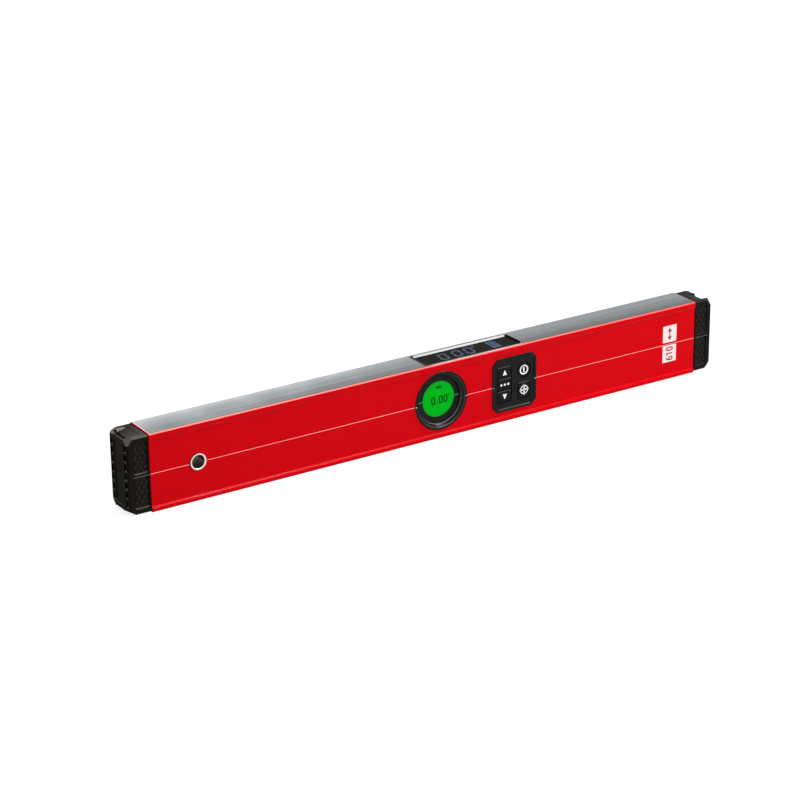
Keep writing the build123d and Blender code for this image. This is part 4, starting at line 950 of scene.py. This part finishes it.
# %% [markdown]
# ## Figures under the top window
# The second display repeats the angle, to be read from in front of the beam with the level on the ground.
# A thick window bends light, so that its cell seems to lie just under the upper face. Alpha doesn't bend
# light, so the figures lie there, inside the window. They lean a little and are built from straight segments
# that taper at both ends. A field of blocks stands beside them.

# %% Top figures
FIGURE_DROP = 0.15
on_top_cell = surface(window_high.z / MM - FIGURE_DROP, axis=2, outward=1)
THIN = dict(proud=0.05, sunk=0.02)
SEGMENT_HALF, SEGMENT_TIP, SEGMENT_GAP = 0.85, 0.08, 0.3
LEAN = 0.13


def segment(start, end):
    """Edges of a straight segment that is full in its middle and tapers to a point at both ends."""
    length = np.linalg.norm(np.subtract(end, start))
    full = SEGMENT_GAP + SEGMENT_HALF
    along = (SEGMENT_GAP, full, length - full, length - SEGMENT_GAP)
    return across_line(start, end, along, (SEGMENT_TIP, SEGMENT_HALF, SEGMENT_HALF, SEGMENT_TIP))


def segment_nought(left, right, low, high):
    """The six outer segments of a nought in that rectangle, which leans to the right."""
    middle = (low + high) / 2
    corners = [(left, low), (right, low), (right, middle), (right, high), (left, high), (left, middle)]
    leaning = [(x + LEAN * y, y) for x, y in corners]
    return [segment(leaning[k], leaning[(k + 1) % 6]) for k in range(6)]


TOP_LEFTS, TOP_WIDTH = (12.4, 27.0, 39.6), 7.0
TOP_LOW, TOP_HIGH = -5.4, 7.4
TOP_DEGREE_PLACE, TOP_DEGREE_SIZE, TOP_DEGREE_PEN = (51.3, 7.7), (1.8, 1.8), 0.7
top_digits = []
for left in TOP_LEFTS:
    for edges in segment_nought(left, left + TOP_WIDTH, TOP_LOW, TOP_HIGH):
        top_digits.append(strip(edges, on_top_cell, **THIN))
top_degree = oval(TOP_DEGREE_PLACE, *TOP_DEGREE_SIZE, count=24)
top_digits.append(ring(top_degree, TOP_DEGREE_PEN, on_top_cell, **THIN))
make_piece("top_figures", top_digits, "digit_blue", "level")

FIELD_START, FIELD_PITCH = (65.8, -5.6), (3.2, 8.0)
FIELD_SIZE, FIELD_CORNER = (1.9, 7.2), 0.2
field = blocks(FIELD_START, FIELD_PITCH, 3, 2, FIELD_SIZE, FIELD_CORNER, on_top_cell, **THIN)
make_piece("top_block_sign", field, "icon_blue", "level")

# %% [markdown]
# ## The broken edge behind the window
# The back edge of the window's opening is broken at a slope, and it is painted white as a painted
# highlight, where its bare metal would flash under the lamps. It is a bar along the opening: four corners,
# one loop at each end.

# %% Broken edge
EDGE_REACH = 0.3
EDGE_CLEAR = 0.05
edge_back = window_high.y / MM - EDGE_CLEAR
edge_foot = window_high.z / MM + EDGE_CLEAR
edge_top = beam_high.z / MM - EDGE_CLEAR
edge_y = (edge_back, edge_back - EDGE_REACH, edge_back - EDGE_CLEAR, edge_back)
edge_corners = np.column_stack([edge_y, (edge_foot, edge_foot, edge_top, edge_top)])
edge_ends = (window_low.x + WINDOW_END) / MM, (window_high.x - 2 * WINDOW_END) / MM
edge_bar = swept_shell(np.stack([np.column_stack([np.full(4, end), edge_corners]) for end in edge_ends]))
# The white bar is a painted highlight.
make_piece("window_broken_edge", [edge_bar], "bevel_highlight_white", "level")

# %% [markdown]
# ## Length plates
# Near the right end two white plates are printed on the paint, above and below the scribed line. One holds
# the length in millimetres, read from below upwards, and the other a double arrow that says what it is.

# %% Length plates
RIB_RISE = 0.9
on_paint = surface(RIB_RISE - beam_half.y / MM)
PLATE_LEFT, PLATE_RIGHT, PLATE_CORNER = 248.1, 263.8, 0.9
PLATE_HEIGHTS = ((36.4, 52.6), (16.8, 33.4))
plates = []
for low, high in PLATE_HEIGHTS:
    edges = plate((PLATE_LEFT, low), (PLATE_RIGHT, high), PLATE_CORNER)
    plates.append(strip(edges, on_paint, proud=0.03))
make_piece("length_plates", plates, "plate_white", "level")

PEN = 1.2
FIGURE_WIDTH, FIGURE_HEIGHT = 2.8, 7.0
SIX_Z, ONE_Z, NOUGHT_Z = 20.2, 24.8, 29.6
BOWL_HEIGHT, BOWL_MIDDLE = 3.8, -1.6
TAIL_MIDDLE, TAIL_REACH = (1.35, BOWL_MIDDLE), (2.75, 5.2)
# The double arrow: a shaft and two heads, each from one height to another, with its two widths
DOUBLE_ARROW = ((41.6, 47.0, 1.1, 1.1), (46.6, 50.6, 4.6, 0.2), (42.0, 38.0, 4.6, 0.2))
plate_x = (PLATE_LEFT + PLATE_RIGHT) / 2


def turned(path, middle_z):
    """A figure drawn upright round its own middle, turned a quarter to the left and placed on a plate."""
    path = np.asarray(path, float)
    return np.stack([plate_x - path[:, 1], middle_z + path[:, 0]], axis=1)


bend = np.radians(np.linspace(180, 100, 12))
six_tail = TAIL_MIDDLE + np.stack([np.cos(bend), np.sin(bend)], axis=1) * TAIL_REACH
strokes = (
    (oval((0, BOWL_MIDDLE), FIGURE_WIDTH, BOWL_HEIGHT, power=2.4), SIX_Z, True),
    (six_tail, SIX_Z, False),
    ([(-1.3, 2.2), (-0.4, 2.9), (0.4, 3.5)], ONE_Z, False),
    ([(0.4, 3.5), (0.4, 0.0), (0.4, -3.5)], ONE_Z, False),
    (oval((0, 0), FIGURE_WIDTH, FIGURE_HEIGHT, power=2.6), NOUGHT_Z, True),
)
number = []
for path, middle_z, closed in strokes:
    number.append(strip(stroke(turned(path, middle_z), PEN, closed), on_paint, closed, sunk=0.0))
for start, end, *widths in DOUBLE_ARROW:
    number.append(strip(wedge((plate_x, start), (plate_x, end), *widths), on_paint, sunk=0.0))
make_piece("length_figures", number, "plate_red", "level")

# %% [markdown]
# ## Index marks
# The scribed line goes on over the rims of the display and the keypad as short white marks, so that the eye
# can follow it across the beam.

# %% Index marks
scribe_z = scribe_height / MM
INDEX_WIDTH = 0.7
LEFT_MARK, RIGHT_MARK = (0.5, 1.4), (-2.2, -1.2)
index_marks = []
for low, high in (bezel_box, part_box("keypad_frame")):
    on_rim = surface(low.y / MM)
    for edge, (start, end) in ((low.x / MM, LEFT_MARK), (high.x / MM, RIGHT_MARK)):
        mark = wedge((edge + start, scribe_z), (edge + end, scribe_z), INDEX_WIDTH, INDEX_WIDTH)
        index_marks.append(strip(mark, on_rim, proud=0.03, sunk=0.05))
make_piece("index_marks", index_marks, "index_white", "level")

# %% [markdown]
# ## Scaled grip pads
# Soft pads in the sides of the bumpers have a skin of six-sided scales. The construction has them as plain
# slabs, and these shells take their place. A pad is a grid of points: across a row x runs over the width
# that the round corners leave there, and the height of each point comes from the field of scales.

# %% Scaled pads
SCALE_PITCH = 4.9
GROOVE = 0.7
PAD_THICKNESS = 0.8
PAD_GROOVE_FLOOR = 0.15
PAD_BAND = 4.6
PAD_CORNER = 1.4
PAD_STEP = 0.25
DOME_SHARE = 0.35


def scales(across, rise, pitch):
    """Height from 0 to 1 of a field of six-sided scales. Scale centres form two rectangular lattices, one
    set half a step into the other. The distance to the nearer centre, measured across the flats, gives the
    way to the scale's edge: a smooth step leads up from the groove, and the middle is slightly domed."""
    points = np.stack([across, rise])
    steps = np.array([pitch, pitch * np.sqrt(3)])[:, None, None]
    first = points - steps * np.round(points / steps)
    second = points - steps * (np.floor(points / steps) + 0.5)
    side, up = np.abs(np.where(np.hypot(*first) < np.hypot(*second), first, second))
    flat = np.maximum(side, side / 2 + up * np.sqrt(3) / 2)
    step = np.clip((pitch / 2 - flat) / GROOVE, 0, 1)
    dome = 1 - (2 * flat / pitch) ** 2
    return step * step * (3 - 2 * step) * (1 - DOME_SHARE + DOME_SHARE * dome)


def rounded_half(rise, half_width, half_height, corner):
    """Half the width of a rounded rectangle at that height: a quarter circle takes over near the ends."""
    beyond = np.clip(np.abs(rise) - (half_height - corner), 0, corner)
    return half_width - corner + np.sqrt(corner**2 - beyond**2)


def scaled_pad(width, height, middle_x, middle_z, floor, side):
    """A pad of that width and height round its middle, flat on its floor and scaled on the side that looks
    to the front (-1) or to the back (1). Rows of its grid follow the rise, and columns share the width."""
    share = np.linspace(-1, 1, int(width / PAD_STEP) + 1)
    rows = np.linspace(-height / 2, height / 2, int(height / PAD_STEP) + 1)
    across = rounded_half(rows, width / 2, height / 2, PAD_CORNER)[:, None] * share
    rise = np.repeat(rows[:, None], len(share), axis=1)
    relief = PAD_GROOVE_FLOOR + (PAD_THICKNESS - PAD_GROOVE_FLOOR) * scales(across, rise, SCALE_PITCH)
    outside = np.stack([middle_x + across, floor + side * relief, middle_z + rise], axis=-1)
    inside = outside.copy()
    inside[..., 1] = floor
    return swept_shell(np.concatenate([outside, inside[:, ::-1]], axis=1))


for node in ("left_cap_grips", "right_cap_grips"):
    low, high = (np.array(corner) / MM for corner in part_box(node))
    width, height = high[0] - low[0], (high[2] - low[2] - PAD_BAND) / 2
    middle_x = (low[0] + high[0]) / 2
    pads = []
    for middle_z in (low[2] + height / 2, high[2] - height / 2):
        for floor, side in ((low[1] + PAD_THICKNESS, -1), (high[1] - PAD_THICKNESS, 1)):
            pads.append(scaled_pad(width, height, middle_x, middle_z, floor, side))
    skin = make_piece(f"{node}_scales", pads, "grip_rubber", "level")
    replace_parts(skin, node)

# %% [markdown]
# ## Datum lines of the bumpers
# On each side of a bumper a raised line carries the scribed line on to the end, and its crest is painted
# light grey as a painted highlight. The crest is a thin strip that lies on the raised line.

# %% Datum lines
DATUM_LENGTH, DATUM_WIDTH = 14.6, 0.6
DATUM_START, DATUM_DEPTH = 285.8, 16.6
for end, side_name in ((-1, "left"), (1, "right")):
    span = sorted((end * DATUM_START, end * (DATUM_START + DATUM_LENGTH)))
    datum = wedge((span[0], scribe_z), (span[1], scribe_z), DATUM_WIDTH, DATUM_WIDTH)
    front_line = strip(datum, surface(-DATUM_DEPTH), proud=0.03, sunk=0.04)
    back_line = strip(datum, surface(DATUM_DEPTH), proud=0.04, sunk=0.03)
    # The grey crests are a painted highlight.
    make_piece(f"{side_name}_datum_lines", [front_line, back_line], "datum_highlight_grey", "level")

# %% [markdown]
# ## Studio
# The picture is a cut-out on white. A pale floor catches a soft shadow, the world is white where the camera,
# metal and glass look at it and dimmer as a lamp, and softboxes stand round and above the level.

# %% Floor and world
FLOOR_HALF = 6.0
FLOOR_DROP = 0.2 * MM
FLOOR_SHADE = 0.3
FLOOR_LIFT = 0.84
AMBIENT = 0.42


def seen_directly(tree):
    """1 for rays from the camera, from mirrors and through glass, 0 for light that is passed on."""
    path = add_node(tree, "LightPath", {})
    direct = math_node("MAXIMUM", path["Is Camera Ray"], path["Is Glossy Ray"])
    return math_node("MAXIMUM", direct, path["Is Transmission Ray"])


def make_floor():
    """A flat square just under the level, with a glow for the eye alone that makes it white."""
    material = bpy.data.materials.new("floor_white")
    tree = empty_tree(material)
    matt = add_node(tree, "BsdfDiffuse", {"Color": (FLOOR_SHADE, FLOOR_SHADE, FLOOR_SHADE, 1.0)})["BSDF"]
    lift = add_node(tree, "Emission", {"Strength": seen_directly(tree) * FLOOR_LIFT})["Emission"]
    both = add_node(tree, "AddShader", {0: matt, 1: lift})["Shader"]
    add_node(tree, "OutputMaterial", {"Surface": both})
    corners = np.array([(-1, -1, 0), (1, -1, 0), (1, 1, 0), (-1, 1, 0)], float) * FLOOR_HALF
    corners[:, 2] = -FLOOR_DROP
    floor = add_mesh("floor", corners, [(0, 1, 2, 3)], material)


def make_world():
    """White to the camera, to mirrors and through glass, and a dimmer even light to everything else."""
    world = bpy.data.worlds.new("studio")
    tree = empty_tree(world)
    strength = mix(seen_directly(tree), AMBIENT, 1.0)
    backdrop = add_node(tree, "Background", {"Color": (1, 1, 1, 1), "Strength": strength})["Background"]
    add_node(tree, "OutputWorld", {"Surface": backdrop})
    bpy.context.scene.world = world


make_floor()
make_world()
bpy.context.scene.view_settings.view_transform = "Standard"
print("floor is", 2 * FLOOR_HALF, "m wide")

# %% Softboxes
# Place from the level's middle and size, both in metres, and power in watts
SOFTBOXES = {
    "key_strip": ((0.9, -1.87, 1.16), (1.8, 0.08), 28.0),
    "overhead_strip": ((1.0, -0.62, 1.3), (1.7, 0.14), 13.0),
    "funnel_strip": ((1.0, -0.16, 1.3), (0.14, 0.5), 11.0),
    "top_softbox": ((-0.25, -0.4, 1.3), (2.9, 0.6), 4.0),
    "back_softbox": ((0.4, 1.8, 0.76), (1.1, 0.9), 4.2),
    "left_softbox": ((-1.7, 0.1, 1.3), (0.8, 0.8), 0.8),
}
for name, (place, size, power) in SOFTBOXES.items():
    lamp = bpy.data.lights.new(name, "AREA")
    lamp.shape = "RECTANGLE"
    lamp.size, lamp.size_y = size
    lamp.energy = power
    holder = add_object(name, lamp)
    holder.location = beam_middle + Vector(place)
    holder.rotation_euler = Vector(place).to_track_quat("Z", "Y").to_euler()
print("softboxes:", len(SOFTBOXES), "facing the level's middle")

# %% [markdown]
# ## Camera
# The camera was found by matching edges of the level in the photograph with edges of the model, so its
# place is given as angles and a distance round the middle of the beam, and its lens as a focal length.

# %% Camera
AZIMUTH = np.radians(-32.41)
ELEVATION = np.radians(21.76)
ROLL = np.radians(-0.695)
DISTANCE = 2265.5 * MM
AIM_RIGHT = -25.625 * MM
AIM_UP = -4.002 * MM
FOCAL_LENGTH = 115.56

ahead = np.cos(ELEVATION)
back = Vector((np.sin(AZIMUTH) * ahead, -np.cos(AZIMUTH) * ahead, np.sin(ELEVATION)))
level_right = Vector((0, 0, 1)).cross(back).normalized()
level_up = back.cross(level_right)
right = level_right * np.cos(ROLL) + level_up * np.sin(ROLL)
up = level_up * np.cos(ROLL) - level_right * np.sin(ROLL)
camera_data = bpy.data.cameras.new("camera")
camera_data.lens = FOCAL_LENGTH
camera = add_object("camera", camera_data)
place = beam_middle + right * AIM_RIGHT + up * AIM_UP + back * DISTANCE
turn = Matrix((right, up, back)).transposed().to_4x4()
camera.matrix_world = Matrix.Translation(place) @ turn
bpy.context.scene.camera = camera
print("camera at", [round(value, 3) for value in place])
